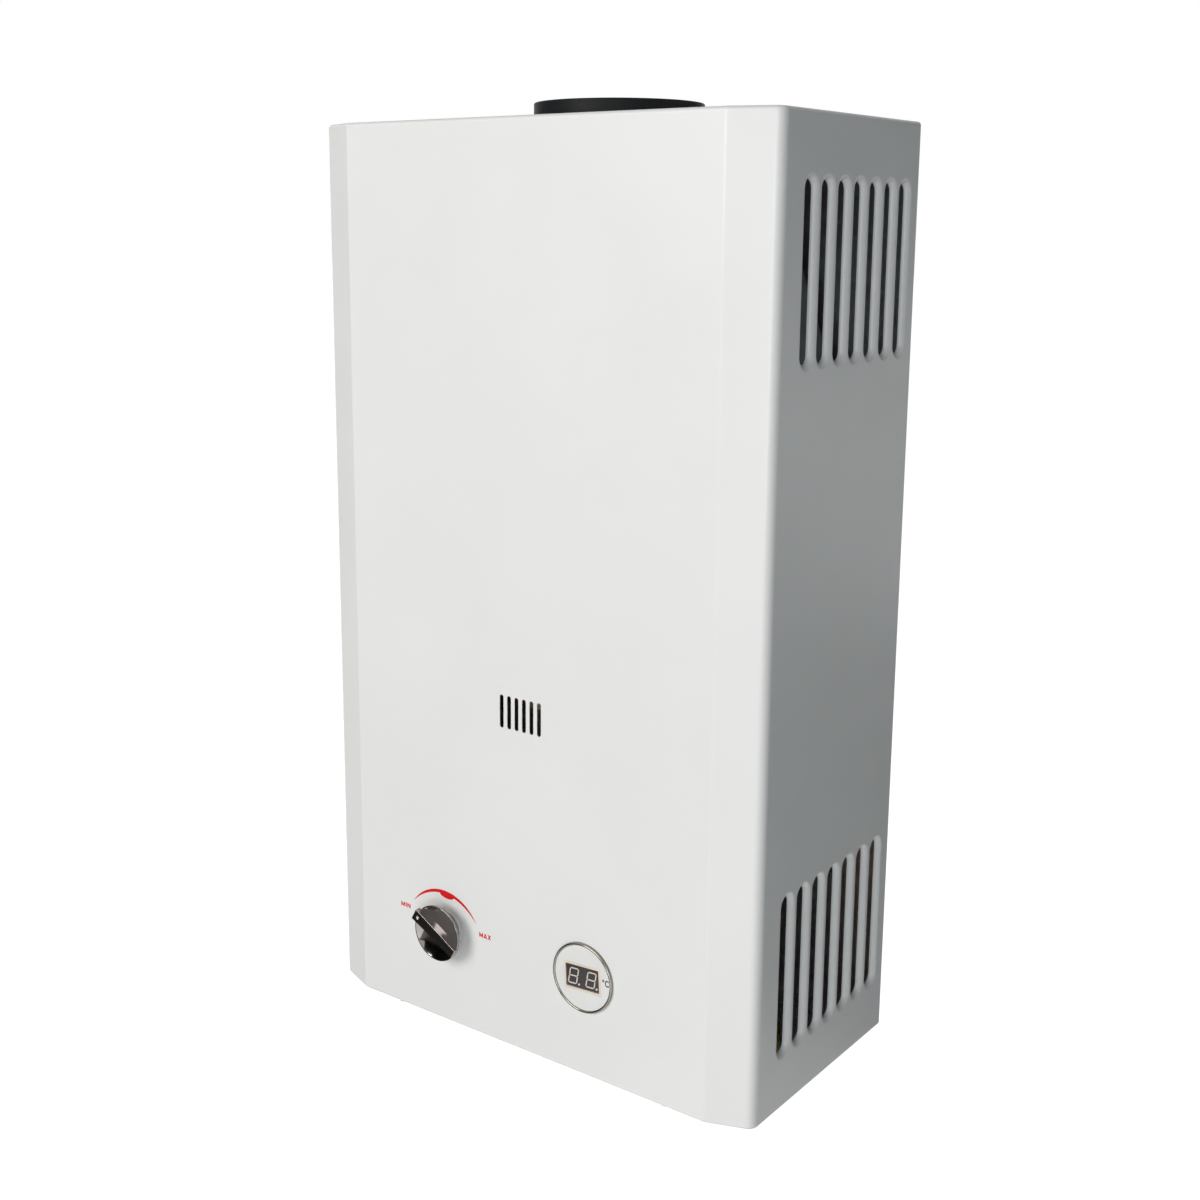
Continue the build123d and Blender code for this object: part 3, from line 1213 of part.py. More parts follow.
def make_temperature_sensor():
    """Clip-on sensor round the hot pipe."""
    base = (pipe_x, tube_rows[-1], BOTTOM + SENSOR_UP)
    bore = PIPE_RADIUS + TUBE_FIT
    clip = rod(base, UP, SENSOR_HEIGHT, bore + SENSOR_WALL)
    nub_half = SENSOR_HEIGHT / 4
    clip += block(
        (pipe_x - nub_half, pipe_x + nub_half),
        (tube_rows[-1] - bore - SENSOR_WALL - SENSOR_NUB, tube_rows[-1]),
        (base[2] + nub_half, base[2] + SENSOR_HEIGHT - nub_half),
    )
    return clip - rod(base, UP, SENSOR_HEIGHT, bore)


box_high = panel_low + box_inner_width + BOX_WALL
lid_axis_y = box_y + box_half_width + LID_BARREL
lid_axis_z = panel_low - BOX_WALL - LID_GAP - LID_BARREL
box_x_span = (battery_x - box_half_length, battery_x + box_half_length)
lid_barrel_half = box_half_length - LID_EAR


def make_battery_box():
    """Plastic box for the cells, let into the floor from below, with a flange and two hinge ears."""
    box = block(box_x_span, (box_y - box_half_width, box_y + box_half_width), (panel_low, box_high))
    flange_span = (battery_x - box_flange_half, battery_x + box_flange_half)
    flange_depth = (box_y - box_half_width - BOX_WALL, lid_axis_y + LID_BARREL)
    flange_height = (panel_low - BOX_WALL, panel_low)
    box += block(flange_span, flange_depth, flange_height)
    half_length = box_inner_length / 2
    half_width = box_inner_width / 2
    box -= block(
        (battery_x - half_length, battery_x + half_length),
        (box_y - half_width, box_y + half_width),
        (panel_low - BOX_WALL - OVERRUN, box_high - BOX_WALL),
    )
    for s in (-1, 1):
        ear_near = battery_x + s * (lid_barrel_half + LID_GAP)
        ear_far = battery_x + s * (lid_barrel_half + LID_EAR)
        ear = block(
            (ear_near, ear_far),
            (lid_axis_y - LID_BARREL, lid_axis_y + LID_BARREL),
            (lid_axis_z - LID_BARREL, panel_low - BOX_WALL),
        )
        box += ear - rod((ear_near, lid_axis_y, lid_axis_z), (s, 0, 0), LID_EAR, LID_PIN + RUNNING_FIT)
    return box - [screw_hole(seat, inward) for seat, inward in box_seats]


def make_battery_lid():
    """Lid under the battery box, with a barrel and two pins on its back edge and a thumb tab in front."""
    front = box_y - box_half_width
    lid_height = (lid_low, lid_low + LID)
    lid_span = (battery_x - lid_barrel_half, battery_x + lid_barrel_half)
    lid = block(lid_span, (front, lid_axis_y), lid_height)
    tab_half = LID_TAB_WIDTH / 2
    lid += block((battery_x - tab_half, battery_x + tab_half), (front - LID_TAB, front), lid_height)
    barrel_start = (battery_x - lid_barrel_half, lid_axis_y, lid_axis_z)
    lid += rod(barrel_start, RIGHT, 2 * lid_barrel_half, LID_BARREL)
    pin_start = (battery_x - lid_barrel_half - LID_PIN_LENGTH, lid_axis_y, lid_axis_z)
    return lid + rod(pin_start, RIGHT, 2 * (lid_barrel_half + LID_PIN_LENGTH), LID_PIN)


cell_z = panel_low + CELL_RADIUS + CELL_FIT
cells_left = battery_x - box_inner_length / 2 + CONTACT_PLATE + CELL_FIT


def make_batteries():
    """Two large round cells in line."""
    return [
        rod((cells_left + i * CELL_LENGTH, box_y, cell_z), RIGHT, CELL_LENGTH, CELL_RADIUS)
        for i in range(CELL_COUNT)
    ]


def make_battery_contacts():
    """Contact plates at the two ends of the cells, one of them with its spring."""
    half = CELL_RADIUS / 2
    depth = (box_y - half, box_y + half)
    height = (cell_z - half, cell_z + half)
    left_end = battery_x - box_inner_length / 2
    right_end = battery_x + box_inner_length / 2
    left_plate = block((left_end, left_end + CONTACT_PLATE), depth, height)
    right_plate = block((right_end - CONTACT_PLATE, right_end), depth, height)
    spring_base = (right_end - CONTACT_PLATE, box_y, cell_z)
    inner = CONTACT_SPRING_RADIUS - SPRING_WALL
    right_plate += rod(spring_base, LEFT, CONTACT_SPRING, CONTACT_SPRING_RADIUS, inner)
    return [left_plate, right_plate]


display_z = BOTTOM + DISPLAY_UP
face_radius = BEZEL_RADIUS - BEZEL_WIDTH - FACE_FIT
led_front = FRONT - FACE_HEIGHT + LED_SINK
display_place = Pos(display_x, 0, display_z) * Rot(0, -DISPLAY_TURN, 0)


def make_display_bezel():
    """Thin chrome ring on the front panel round the display."""
    base = (display_x, FRONT, display_z)
    ring = rod(base, FORWARD, BEZEL_HEIGHT, BEZEL_RADIUS, BEZEL_RADIUS - BEZEL_WIDTH)
    return fillet(ring.edges().group_by(Axis.Y)[0], BEZEL_ROUND)


def make_display_housing():
    """White round display body: a face with the window, and a skirt through the panel hole."""
    body = rod((display_x, FRONT, display_z), FORWARD, FACE_HEIGHT, face_radius)
    body += rod((display_x, FRONT, display_z), BACK, SKIRT_DEPTH, SKIRT_RADIUS)
    body -= rod((display_x, FRONT, display_z), BACK, SKIRT_DEPTH, SKIRT_RADIUS - SKIRT_WALL)
    half_width = LED_WIDTH / 2 + LED_FIT
    half_height = LED_HEIGHT / 2 + LED_FIT
    return body - display_place * block(
        (-half_width, half_width),
        (FRONT - FACE_HEIGHT - OVERRUN, FRONT + OVERRUN),
        (-half_height, half_height),
    )


def make_led_module():
    """Two-digit segment display block behind the window."""
    return display_place * block(
        (-LED_WIDTH / 2, LED_WIDTH / 2),
        (led_front, led_front + LED_DEPTH),
        (-LED_HEIGHT / 2, LED_HEIGHT / 2),
    )


def make_display_board():
    """Round circuit board in the skirt, behind the segment display."""
    radius = SKIRT_RADIUS - SKIRT_WALL - BOARD_FIT
    return rod((display_x, led_front + LED_DEPTH, display_z), BACK, BOARD, radius)


def make_display_ring_nut():
    """Ring nut that holds the display body from behind the panel."""
    base = (display_x, FRONT + SHEET, display_z)
    return rod(base, BACK, RING_NUT_HEIGHT, RING_NUT_RADIUS, SKIRT_RADIUS + FACE_FIT)


parts = {
    "back_plate": make_back_plate(),
    "bottom_panel": make_bottom_panel(),
    "front_cover": make_front_cover(),
    "sheet_screws": make_sheet_screws(),
    "flue_collar": make_flue_collar(),
    "flue_hood": make_flue_hood(),
    "combustion_chamber": make_combustion_chamber(),
    "view_window": make_view_window(),
    "exchanger_fins": make_exchanger_fins(),
    "exchanger_tube": make_exchanger_tube(),
    "chamber_brackets": make_chamber_brackets(),
    "burner_tray": make_burner_tray(),
    "burner_bars": make_burner_bars(),
    "gas_manifold": make_gas_manifold(),
    "gas_nozzles": make_gas_nozzles(),
    "electrode_brackets": make_electrode_brackets(),
    "electrode_insulators": make_electrode_insulators(),
    "ignition_electrode": electrode_pin(-ELECTRODE_X),
    "flame_sensor": electrode_pin(ELECTRODE_X),
    "gas_feed_pipe": make_gas_feed_pipe(),
    "cold_pipe": make_cold_pipe(),
    "hot_pipe": make_hot_pipe(),
    "cold_inlet": fitting(cold_x, water_boss_low - WASHER),
    "gas_inlet": fitting(gas_x, gas_low - WASHER),
    "hot_outlet": fitting(hot_x, hot_top - WASHER),
    "inlet_strainer": make_inlet_strainer(),
    "seal_washers": make_seal_washers(),
    "water_valve_body": make_water_valve_body(),
    "water_valve_cover": make_water_valve_cover(),
    "diaphragm": make_diaphragm(),
    "push_rod": make_push_rod(),
    "gas_poppet": make_gas_poppet(),
    "poppet_spring": sleeve_spring(poppet_left + POPPET, stem_high, POPPET_SPRING_RADIUS),
    "gas_valve_body": make_gas_valve_body(),
    "solenoid_coil": make_solenoid_coil(),
    "solenoid_plunger": make_solenoid_plunger(),
    "solenoid_spring": sleeve_spring(disc_left + PLUNGER_DISC, gas_right, SOLENOID_SPRING_RADIUS),
    "valve_screws": [cap_screw(seat, LEFT) for seat in water_seats + solenoid_seats],
    "microswitch": make_microswitch(),
    "microswitch_lever": make_microswitch_lever(),
    "regulator_plug": make_regulator_plug(),
    "spindle_bush": make_spindle_bush(),
    "knob_spindle": make_knob_spindle(),
    "knob_plinth": make_knob_plinth(),
    "control_knob": make_control_knob(),
    "drain_plug": make_drain_plug(),
    "valve_bracket": make_valve_bracket(),
    "igniter_box": make_igniter_box(),
    "thermostat": make_thermostat(),
    "temperature_sensor": make_temperature_sensor(),
    "battery_box": make_battery_box(),
    "battery_lid": make_battery_lid(),
    "batteries": make_batteries(),
    "battery_contacts": make_battery_contacts(),
    "display_bezel": make_display_bezel(),
    "display_housing": make_display_housing(),
    "led_module": make_led_module(),
    "display_board": make_display_board(),
    "display_ring_nut": make_display_ring_nut(),
}

for name, shape in parts.items():
    solids = Compound(children=shape) if isinstance(shape, list) else shape
    export_step(solids, f"parts/{name}.step")
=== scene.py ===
import math

import bmesh
import bpy
import numpy as np
from mathutils import Matrix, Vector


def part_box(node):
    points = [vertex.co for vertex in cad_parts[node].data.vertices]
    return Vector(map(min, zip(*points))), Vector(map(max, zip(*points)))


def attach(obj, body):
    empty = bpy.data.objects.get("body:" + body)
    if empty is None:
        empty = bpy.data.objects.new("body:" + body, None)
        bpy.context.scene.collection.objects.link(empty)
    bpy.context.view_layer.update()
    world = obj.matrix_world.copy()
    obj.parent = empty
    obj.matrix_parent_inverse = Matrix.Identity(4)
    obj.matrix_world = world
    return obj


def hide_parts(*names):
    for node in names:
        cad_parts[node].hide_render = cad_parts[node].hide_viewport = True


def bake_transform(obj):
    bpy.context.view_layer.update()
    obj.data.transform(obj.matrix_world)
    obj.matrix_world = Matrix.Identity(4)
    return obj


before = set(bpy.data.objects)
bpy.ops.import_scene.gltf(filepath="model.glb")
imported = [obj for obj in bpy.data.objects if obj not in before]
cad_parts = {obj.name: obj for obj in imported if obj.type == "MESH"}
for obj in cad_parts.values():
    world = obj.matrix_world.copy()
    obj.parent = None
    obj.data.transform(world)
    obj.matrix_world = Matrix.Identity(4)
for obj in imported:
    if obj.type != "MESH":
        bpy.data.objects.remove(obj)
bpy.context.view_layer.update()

# Chassis
# Back plate, floor panel and brackets: galvanised steel sheet, cut, punched and folded.
# The plate hangs on four wall bolts, and the floor and the brackets are screwed to it.


def start_finish(name, metallic=0.0, coat=0.0):
    """A new shader, with the Object coordinates that its grain is laid on."""
    finish = bpy.data.materials.new(name)
    finish.use_nodes = True
    tree = finish.node_tree
    shader = tree.nodes["Principled BSDF"]
    shader.inputs["Metallic"].default_value = metallic
    shader.inputs["Coat Weight"].default_value = coat
    place = tree.nodes.new("ShaderNodeTexCoord")
    return finish, tree, shader, place.outputs["Object"]


def cloud(tree, coords, per_metre, stretch=(1, 1, 1)):
    """A cloudy grain with so many grains to the metre, made finer along an axis by its stretch."""
    mapping = tree.nodes.new("ShaderNodeMapping")
    mapping.inputs["Scale"].default_value = stretch
    noise = tree.nodes.new("ShaderNodeTexNoise")
    noise.inputs["Scale"].default_value = per_metre
    noise.inputs["Detail"].default_value = 3.0
    tree.links.new(coords, mapping.inputs["Vector"])
    tree.links.new(mapping.outputs["Vector"], noise.inputs["Vector"])
    return noise.outputs[0]


GRAIN_LOW, GRAIN_HIGH = 0.3, 0.7


def lay_colour(tree, shader, grain, dark, light):
    """Runs the colour from a dark to a light tone with the grain."""
    ramp = tree.nodes.new("ShaderNodeValToRGB")
    ramp.color_ramp.elements[0].position = GRAIN_LOW
    ramp.color_ramp.elements[1].position = GRAIN_HIGH
    ramp.color_ramp.elements[0].color = (*dark, 1)
    ramp.color_ramp.elements[1].color = (*light, 1)
    tree.links.new(grain, ramp.inputs["Fac"])
    tree.links.new(ramp.outputs["Color"], shader.inputs["Base Color"])


def lay_gloss(tree, shader, grain, smooth, rough):
    """Runs the roughness between two values with the grain."""
    spread = tree.nodes.new("ShaderNodeMapRange")
    spread.inputs["From Min"].default_value = GRAIN_LOW
    spread.inputs["From Max"].default_value = GRAIN_HIGH
    spread.inputs["To Min"].default_value = smooth
    spread.inputs["To Max"].default_value = rough
    tree.links.new(grain, spread.inputs["Value"])
    tree.links.new(spread.outputs["Result"], shader.inputs["Roughness"])


def lay_relief(tree, shader, grain, depth):
    """Raises the surface with the grain by a depth in metres."""
    bump = tree.nodes.new("ShaderNodeBump")
    bump.inputs["Strength"].default_value = 1.0
    bump.inputs["Distance"].default_value = depth
    tree.links.new(grain, bump.inputs["Height"])
    tree.links.new(bump.outputs["Normal"], shader.inputs["Normal"])


def dress(finish, *names):
    """Gives CAD nodes a finish in place of the plain one that they were packed with."""
    for name in names:
        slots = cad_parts[name].data.materials
        slots.clear()
        slots.append(finish)


galvanised, tree, shader, coords = start_finish("galvanised_sheet", metallic=1.0)
spangle = tree.nodes.new("ShaderNodeTexVoronoi")
spangle.inputs["Scale"].default_value = 170.0
crystal = tree.nodes.new("ShaderNodeSeparateColor")
tree.links.new(coords, spangle.inputs["Vector"])
tree.links.new(spangle.outputs["Color"], crystal.inputs["Color"])
lay_colour(tree, shader, crystal.outputs["Red"], (0.45, 0.47, 0.48), (0.52, 0.54, 0.55))
lay_gloss(tree, shader, crystal.outputs["Green"], 0.38, 0.43)
lay_relief(tree, shader, cloud(tree, coords, 700.0), 0.00001)
dress(galvanised, "back_plate", "bottom_panel", "chamber_brackets", "valve_bracket")

# Burner
# Aluminised steel tray with ten hollow pressed bars, a gas rail and its brass jets in front.
# The bars lie on the tray's two ledges; electrodes in ceramic sleeves reach over them.


def worked_finish(name, dark, light, grain, smooth, rough, metallic=0.0, stretch=(1, 1, 1), depth=0.0):
    """A finish with one cloudy grain for its colour, its gloss and, where it has a depth, its relief."""
    finish, tree, shader, coords = start_finish(name, metallic)
    clouds = cloud(tree, coords, grain, stretch)
    lay_colour(tree, shader, clouds, dark, light)
    lay_gloss(tree, shader, clouds, smooth, rough)
    if depth:
        lay_relief(tree, shader, clouds, depth)
    return finish


rolled_steel = worked_finish(
    "rolled_steel", (0.38, 0.37, 0.36), (0.55, 0.54, 0.53), 60.0, 0.28, 0.45, 1.0, (1, 1, 12), 0.00001
)
dress(rolled_steel, "burner_tray", "burner_bars", "electrode_brackets", "battery_contacts")
dress(rolled_steel, "ignition_electrode", "flame_sensor", "solenoid_plunger", "microswitch_lever")
dress(rolled_steel, "valve_screws", "inlet_strainer", "gas_manifold")
glazed_ceramic = worked_finish("glazed_ceramic", (0.70, 0.68, 0.62), (0.80, 0.79, 0.74), 90.0, 0.12, 0.22)
dress(glazed_ceramic, "electrode_insulators")

# Heat exchanger and pipes
# Copper sheet shaft, thirty copper fins and one tube that runs to and fro through them.
# Everything is brazed; heat leaves a brown oxide bloom on the copper. The pane is mica.
bloomed_copper = worked_finish(
    "bloomed_copper", (0.42, 0.13, 0.06), (0.78, 0.36, 0.22), 18.0, 0.24, 0.42, 1.0, (1, 1, 1), 0.00002
)
dress(bloomed_copper, "combustion_chamber", "exchanger_fins", "exchanger_tube")
dress(bloomed_copper, "cold_pipe", "hot_pipe", "gas_feed_pipe")
mica_sheet = worked_finish(
    "mica_sheet", (0.50, 0.40, 0.24), (0.68, 0.58, 0.40), 45.0, 0.15, 0.35, 0.0, (1, 1, 4)
)
dress(mica_sheet, "view_window")

# Water and gas valve
# Turned and forged brass for the water side and the connections, die-cast alloy for the gas body.
# The halves are held by socket screws; rubber and fibre seals lie between them.
turned_brass = worked_finish(
    "turned_brass", (0.56, 0.40, 0.15), (0.74, 0.56, 0.25), 40.0, 0.16, 0.30, 1.0, (1, 1, 30), 0.000012
)
dress(turned_brass, "water_valve_body", "water_valve_cover", "push_rod", "gas_poppet", "gas_nozzles")
dress(turned_brass, "cold_inlet", "gas_inlet", "hot_outlet", "regulator_plug", "spindle_bush", "knob_spindle")
cast_alloy = worked_finish(
    "cast_alloy", (0.40, 0.40, 0.41), (0.55, 0.55, 0.56), 900.0, 0.38, 0.55, 1.0, (1, 1, 1), 0.00005
)
dress(cast_alloy, "gas_valve_body", "thermostat", "temperature_sensor")
seal_rubber = worked_finish("seal_rubber", (0.010, 0.010, 0.011), (0.030, 0.030, 0.031), 500.0, 0.6, 0.8)
dress(seal_rubber, "diaphragm")
red_fibre = worked_finish(
    "red_fibre", (0.22, 0.05, 0.03), (0.34, 0.09, 0.05), 1200.0, 0.7, 0.9, 0.0, (1, 1, 1), 0.00003
)
dress(red_fibre, "seal_washers")

# Valve springs
# Two coil springs of round steel wire: one shuts the gas poppet, one returns the solenoid's plunger.
# Each stands on a fixed seat at its right end, and what it pushes on squeezes it from the left.
MM = 0.001


def box_mm(node):
    """A CAD node's lowest and highest corner, in millimetres."""
    low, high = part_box(node)
    return np.array(low) / MM, np.array(high) / MM


def ring_faces(rows, points, closed_rows=False):
    """Quads of a grid whose rows are closed loops of points; the last row may join the first."""
    row, point = np.meshgrid(np.arange(rows if closed_rows else rows - 1), np.arange(points), indexing="ij")
    after, beside = (row + 1) % rows, (point + 1) % points
    quads = (row * points + point, row * points + beside, after * points + beside, after * points + point)
    return np.stack(quads, axis=-1).reshape(-1, 4)


def outward_mesh(name, points, faces):
    """A mesh in metres from points in millimetres, welded, with its faces turned outwards."""
    mesh = bpy.data.meshes.new(name)
    places, index = np.unique(np.round(points, 4), axis=0, return_inverse=True)
    index = index.reshape(-1)
    kept = [tuple(dict.fromkeys(face)) for face in (index[np.array(face)].tolist() for face in faces)]
    mesh.from_pydata((places * MM).tolist(), [], [face for face in kept if len(face) > 2])
    work = bmesh.new()
    work.from_mesh(mesh)
    bmesh.ops.recalc_face_normals(work, faces=work.faces)
    work.to_mesh(mesh)
    work.free()
    return mesh


WIRE_RADIUS = 0.55
WIRE_SIDES = 10
SPRING_TURNS = 5
STEPS_PER_TURN = 28


def coil_spring(name, node):
    """Round wire wound about X in a CAD spring's place: its centre goes round while it moves along, and
    its skin is a circle about that centre, across the wire."""
    low, high = box_mm(node)
    winding = (high[2] - low[2]) / 2 - WIRE_RADIUS
    length = high[0] - low[0] - 2 * WIRE_RADIUS
    share = np.linspace(0, 1, SPRING_TURNS * STEPS_PER_TURN + 1)
    angle = 2 * np.pi * SPRING_TURNS * share
    outward = np.column_stack((angle * 0, np.cos(angle), np.sin(angle)))
    centre = (low + high) / 2 + winding * outward
    centre[:, 0] = low[0] + WIRE_RADIUS + length * share
    round_rate = 2 * np.pi * SPRING_TURNS * winding
    ahead = np.column_stack((angle * 0 + length, -round_rate * np.sin(angle), round_rate * np.cos(angle)))
    ahead /= np.linalg.norm(ahead, axis=1)[:, None]
    beside = np.cross(ahead, outward)
    around = np.linspace(0, 2 * np.pi, WIRE_SIDES, endpoint=False)[:, None]
    across = np.cos(around) * outward[:, None] + np.sin(around) * beside[:, None]
    skin = centre[:, None] + WIRE_RADIUS * across
    last = WIRE_SIDES * (len(share) - 1)
    ends = [list(range(WIRE_SIDES)), list(range(last, last + WIRE_SIDES))]
    return outward_mesh(name, skin.reshape(-1, 3), ring_faces(len(share), WIRE_SIDES).tolist() + ends)


def add_spring(mesh, node):
    """Puts a spring in a CAD node's place, with its steel finish, and hides the node."""
    spring = bpy.data.objects.new(mesh.name, mesh)
    bpy.context.scene.collection.objects.link(spring)
    mesh.materials.append(rolled_steel)
    mesh.shade_smooth()
    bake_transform(spring)
    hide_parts(node)


add_spring(coil_spring("poppet_coil", "poppet_spring"), "poppet_spring")
add_spring(coil_spring("plunger_coil", "solenoid_spring"), "solenoid_spring")

# Electrical pieces
# Moulded cases of the igniter, switch, coil, battery box and its lid, with a fine spark-eroded grain.
# Two dry cells lie in the box, between plated contacts; the display board is glass-epoxy laminate.


def moulded_plastic(name, dark, light, smooth, rough, grain_depth):
    """A moulded plastic: broad uneven tone and gloss, and a fine grain from the mould in relief."""
    finish, tree, shader, coords = start_finish(name)
    broad = cloud(tree, coords, 35.0)
    lay_colour(tree, shader, broad, dark, light)
    lay_gloss(tree, shader, broad, smooth, rough)
    lay_relief(tree, shader, cloud(tree, coords, 2600.0), grain_depth)
    return finish


black_plastic = moulded_plastic(
    "black_plastic", (0.018, 0.018, 0.019), (0.032, 0.032, 0.034), 0.38, 0.5, 0.00003
)
dress(black_plastic, "igniter_box", "microswitch", "solenoid_coil", "display_ring_nut")
grey_plastic = moulded_plastic("grey_plastic", (0.23, 0.24, 0.25), (0.28, 0.29, 0.30), 0.36, 0.48, 0.00003)
dress(grey_plastic, "battery_box", "battery_lid", "drain_plug")
board_laminate = worked_finish("board_laminate", (0.01, 0.10, 0.04), (0.02, 0.20, 0.08), 220.0, 0.25, 0.4)
dress(board_laminate, "display_board")
cell_jacket, tree, shader, coords = start_finish("cell_jacket", metallic=0.6)
bands = tree.nodes.new("ShaderNodeTexWave")
bands.inputs["Scale"].default_value = 5.0
bands.inputs["Distortion"].default_value = 0.0
tree.links.new(coords, bands.inputs["Vector"])
lay_colour(tree, shader, bands.outputs["Fac"], (0.02, 0.02, 0.022), (0.55, 0.36, 0.12))
lay_gloss(tree, shader, cloud(tree, coords, 120.0), 0.2, 0.32)
dress(cell_jacket, "batteries")

# Flue hood and collar
# The hood is folded galvanised sheet. The collar on it is pressed steel with a rolled rim, black
# stove enamel, and stands through a hole in the cover to take the flue pipe.


def turned(profile, steps):
    """Turns a closed profile of (radius, height) pairs about the upright axis: x = r cos a, y = r sin a."""
    radius, height = np.array(profile).T
    angle = np.linspace(0, 2 * np.pi, steps, endpoint=False)
    x = radius[:, None] * np.cos(angle)
    y = radius[:, None] * np.sin(angle)
    z = np.repeat(height[:, None], steps, axis=1)
    return np.stack((x, y, z), axis=-1).reshape(-1, 3), ring_faces(len(profile), steps, closed_rows=True)


def round_corner(centre, radius, start, end, steps=6):
    """Points of an arc in a profile, from one angle to another in degrees."""
    angle = np.radians(np.linspace(start, end, steps))
    return [(centre[0] + radius * np.cos(a), centre[1] + radius * np.sin(a)) for a in angle]


def add_piece(mesh, finish, body, replaced=None, crease=32.0):
    """Puts a finished mesh in the scene, smooth but for its sharp edges, riding on a body."""
    piece = bpy.data.objects.new(mesh.name, mesh)
    bpy.context.scene.collection.objects.link(piece)
    mesh.materials.append(finish)
    mesh.shade_smooth()
    mesh.set_sharp_from_angle(angle=math.radians(crease))
    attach(piece, body)
    if replaced:
        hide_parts(replaced)


# The hood's zinc is dulled by heat and painted darker still as painted shade, so that it reads dark through
# the louvres inside the closed cover.
shaded_dull_zinc = worked_finish(
    "heat_dulled_shaded_zinc", (0.13, 0.135, 0.14), (0.21, 0.215, 0.22), 60.0, 0.5, 0.65, 1.0, (1, 1, 1), 0.00001
)
dress(shaded_dull_zinc, "flue_hood")
collar_low, collar_high = box_mm("flue_collar")
cover_low, cover_high = box_mm("front_cover")
collar_flange = collar_high[0]
collar_middle = (collar_low[1] + collar_high[1]) / 2
collar_base, collar_top = collar_low[2], collar_high[2]
COLLAR_RADIUS = 53.5
COLLAR_BORE = 51.3
COLLAR_NECK = 52.7
COLLAR_SHEET = 1.4
COLLAR_BEAD = 0.9
COLLAR_STEP = 0.4
bead_centre = (COLLAR_RADIUS - COLLAR_BEAD, collar_top - COLLAR_BEAD)
mouth_centre = (COLLAR_BORE + COLLAR_BEAD, collar_top - COLLAR_BEAD)
collar_profile = [
    (COLLAR_BORE, collar_base),
    (collar_flange, collar_base),
    (collar_flange, collar_base + COLLAR_SHEET),
    (COLLAR_NECK, collar_base + COLLAR_SHEET),
    (COLLAR_NECK, cover_high[2] - COLLAR_STEP),
    (COLLAR_RADIUS, cover_high[2] + COLLAR_STEP),
    *round_corner(bead_centre, COLLAR_BEAD, 0, 90),
    *round_corner(mouth_centre, COLLAR_BEAD, 90, 180),
]
points, faces = turned(collar_profile, steps=160)
points += (0, collar_middle, 0)
black_enamel = worked_finish(
    "black_stove_enamel", (0.007, 0.008, 0.009), (0.010, 0.011, 0.012), 300.0, 0.42, 0.52, depth=0.000006
)
black_enamel.node_tree.nodes["Principled BSDF"].inputs["Specular IOR Level"].default_value = 0.1
add_piece(outward_mesh("collar_spigot", points, faces), black_enamel, "heater", "flue_collar")

# Front cover
# One steel sheet, 1 mm thick, folded into front, two bevels, two sides, top and a bottom return.
# The louvre slots are pierced and their edges drawn inwards; the white enamel is stoved on last.
BEVEL_WIDTH = 29.0
BEVEL_SETBACK = 11.0
SHEET = 1.0
CORNER_RADIUS = 7.5
CREASE_RADIUS = 6.0
EDGE_RADIUS = 2.5
FLANGE_WIDTH = 14.0
FLANGE_CORNER = 2.0
BY_BEND = 0.6
BY_FOLD = 0.02
half_width, front_y, rear_y = cover_high[0], cover_low[1], cover_high[1]
top_z, bottom_z = cover_high[2], cover_low[2]
bevel_angle = math.atan2(BEVEL_SETBACK, BEVEL_WIDTH)


def slot_across(middle, half, steps):
    """Places across a slot's cell, at even angles as seen from its middle."""
    return middle + half * np.tan(np.linspace(-np.pi / 4, np.pi / 4, steps))


def slot_along(middle, spine, half, steps):
    """Places along a slot's cell: both ends of its spine, and even angles beyond each."""
    beyond = spine + half * np.tan(np.linspace(0, np.pi / 4, steps))
    return np.concatenate((middle - beyond, middle + beyond))


LOUVRES = 7
LOUVRE_PITCH = 18.9
LOUVRE_WIDTH = 10.7
LOUVRE_LIP = 3.6
LOUVRE_SHIFT = 7.0
LOUVRE_BANKS = ((101.0, top_z - 87.3), (101.0, bottom_z + 87.3))
VIEW_SLOTS = 6
VIEW_PITCH = 6.0
VIEW_WIDTH = 3.0
VIEW_LENGTH = 21.5
VIEW_LIP = 0.35
KNOB_HOLE, KNOB_CELL = 9.55, 12.0
DISPLAY_HOLE, DISPLAY_CELL = 20.8, 23.0
SLOT_FLAT = 0.2
FINE_STEPS, COARSE_STEPS = 11, 7
TOUCHING = 0.001
view_z = bottom_z + 227.5
plinth_low, plinth_high = box_mm("knob_plinth")
bezel_low, bezel_high = box_mm("display_bezel")
knob_x, knob_z = (plinth_low[0] + plinth_high[0]) / 2, (plinth_low[2] + plinth_high[2]) / 2
display_x, display_z = (bezel_low[0] + bezel_high[0]) / 2, (bezel_low[2] + bezel_high[2]) / 2
side_middle = (front_y + BEVEL_SETBACK) / 2 + LOUVRE_SHIFT

# Each cut-out: wall, middle across, middle up, cell half width, spine half length, radius, lip radius.
cut_outs = []
for wall in ("right", "left"):
    for length, middle in LOUVRE_BANKS:
        for i in range(LOUVRES):
            across = side_middle + (i - (LOUVRES - 1) / 2) * LOUVRE_PITCH
            spine = (length - LOUVRE_WIDTH) / 2
            cut_outs.append((wall, across, middle, LOUVRE_PITCH / 2, spine, LOUVRE_WIDTH / 2, LOUVRE_LIP))
for i in range(VIEW_SLOTS):
    across = (i - (VIEW_SLOTS - 1) / 2) * VIEW_PITCH
    spine = (VIEW_LENGTH - VIEW_WIDTH) / 2
    cut_outs.append(("front", across, view_z, VIEW_PITCH / 2, spine, VIEW_WIDTH / 2, VIEW_LIP))
cut_outs.append(("front", knob_x, knob_z, KNOB_CELL, 0.0, KNOB_HOLE, 0.0))
cut_outs.append(("front", display_x, display_z, DISPLAY_CELL, 0.0, DISPLAY_HOLE, 0.0))

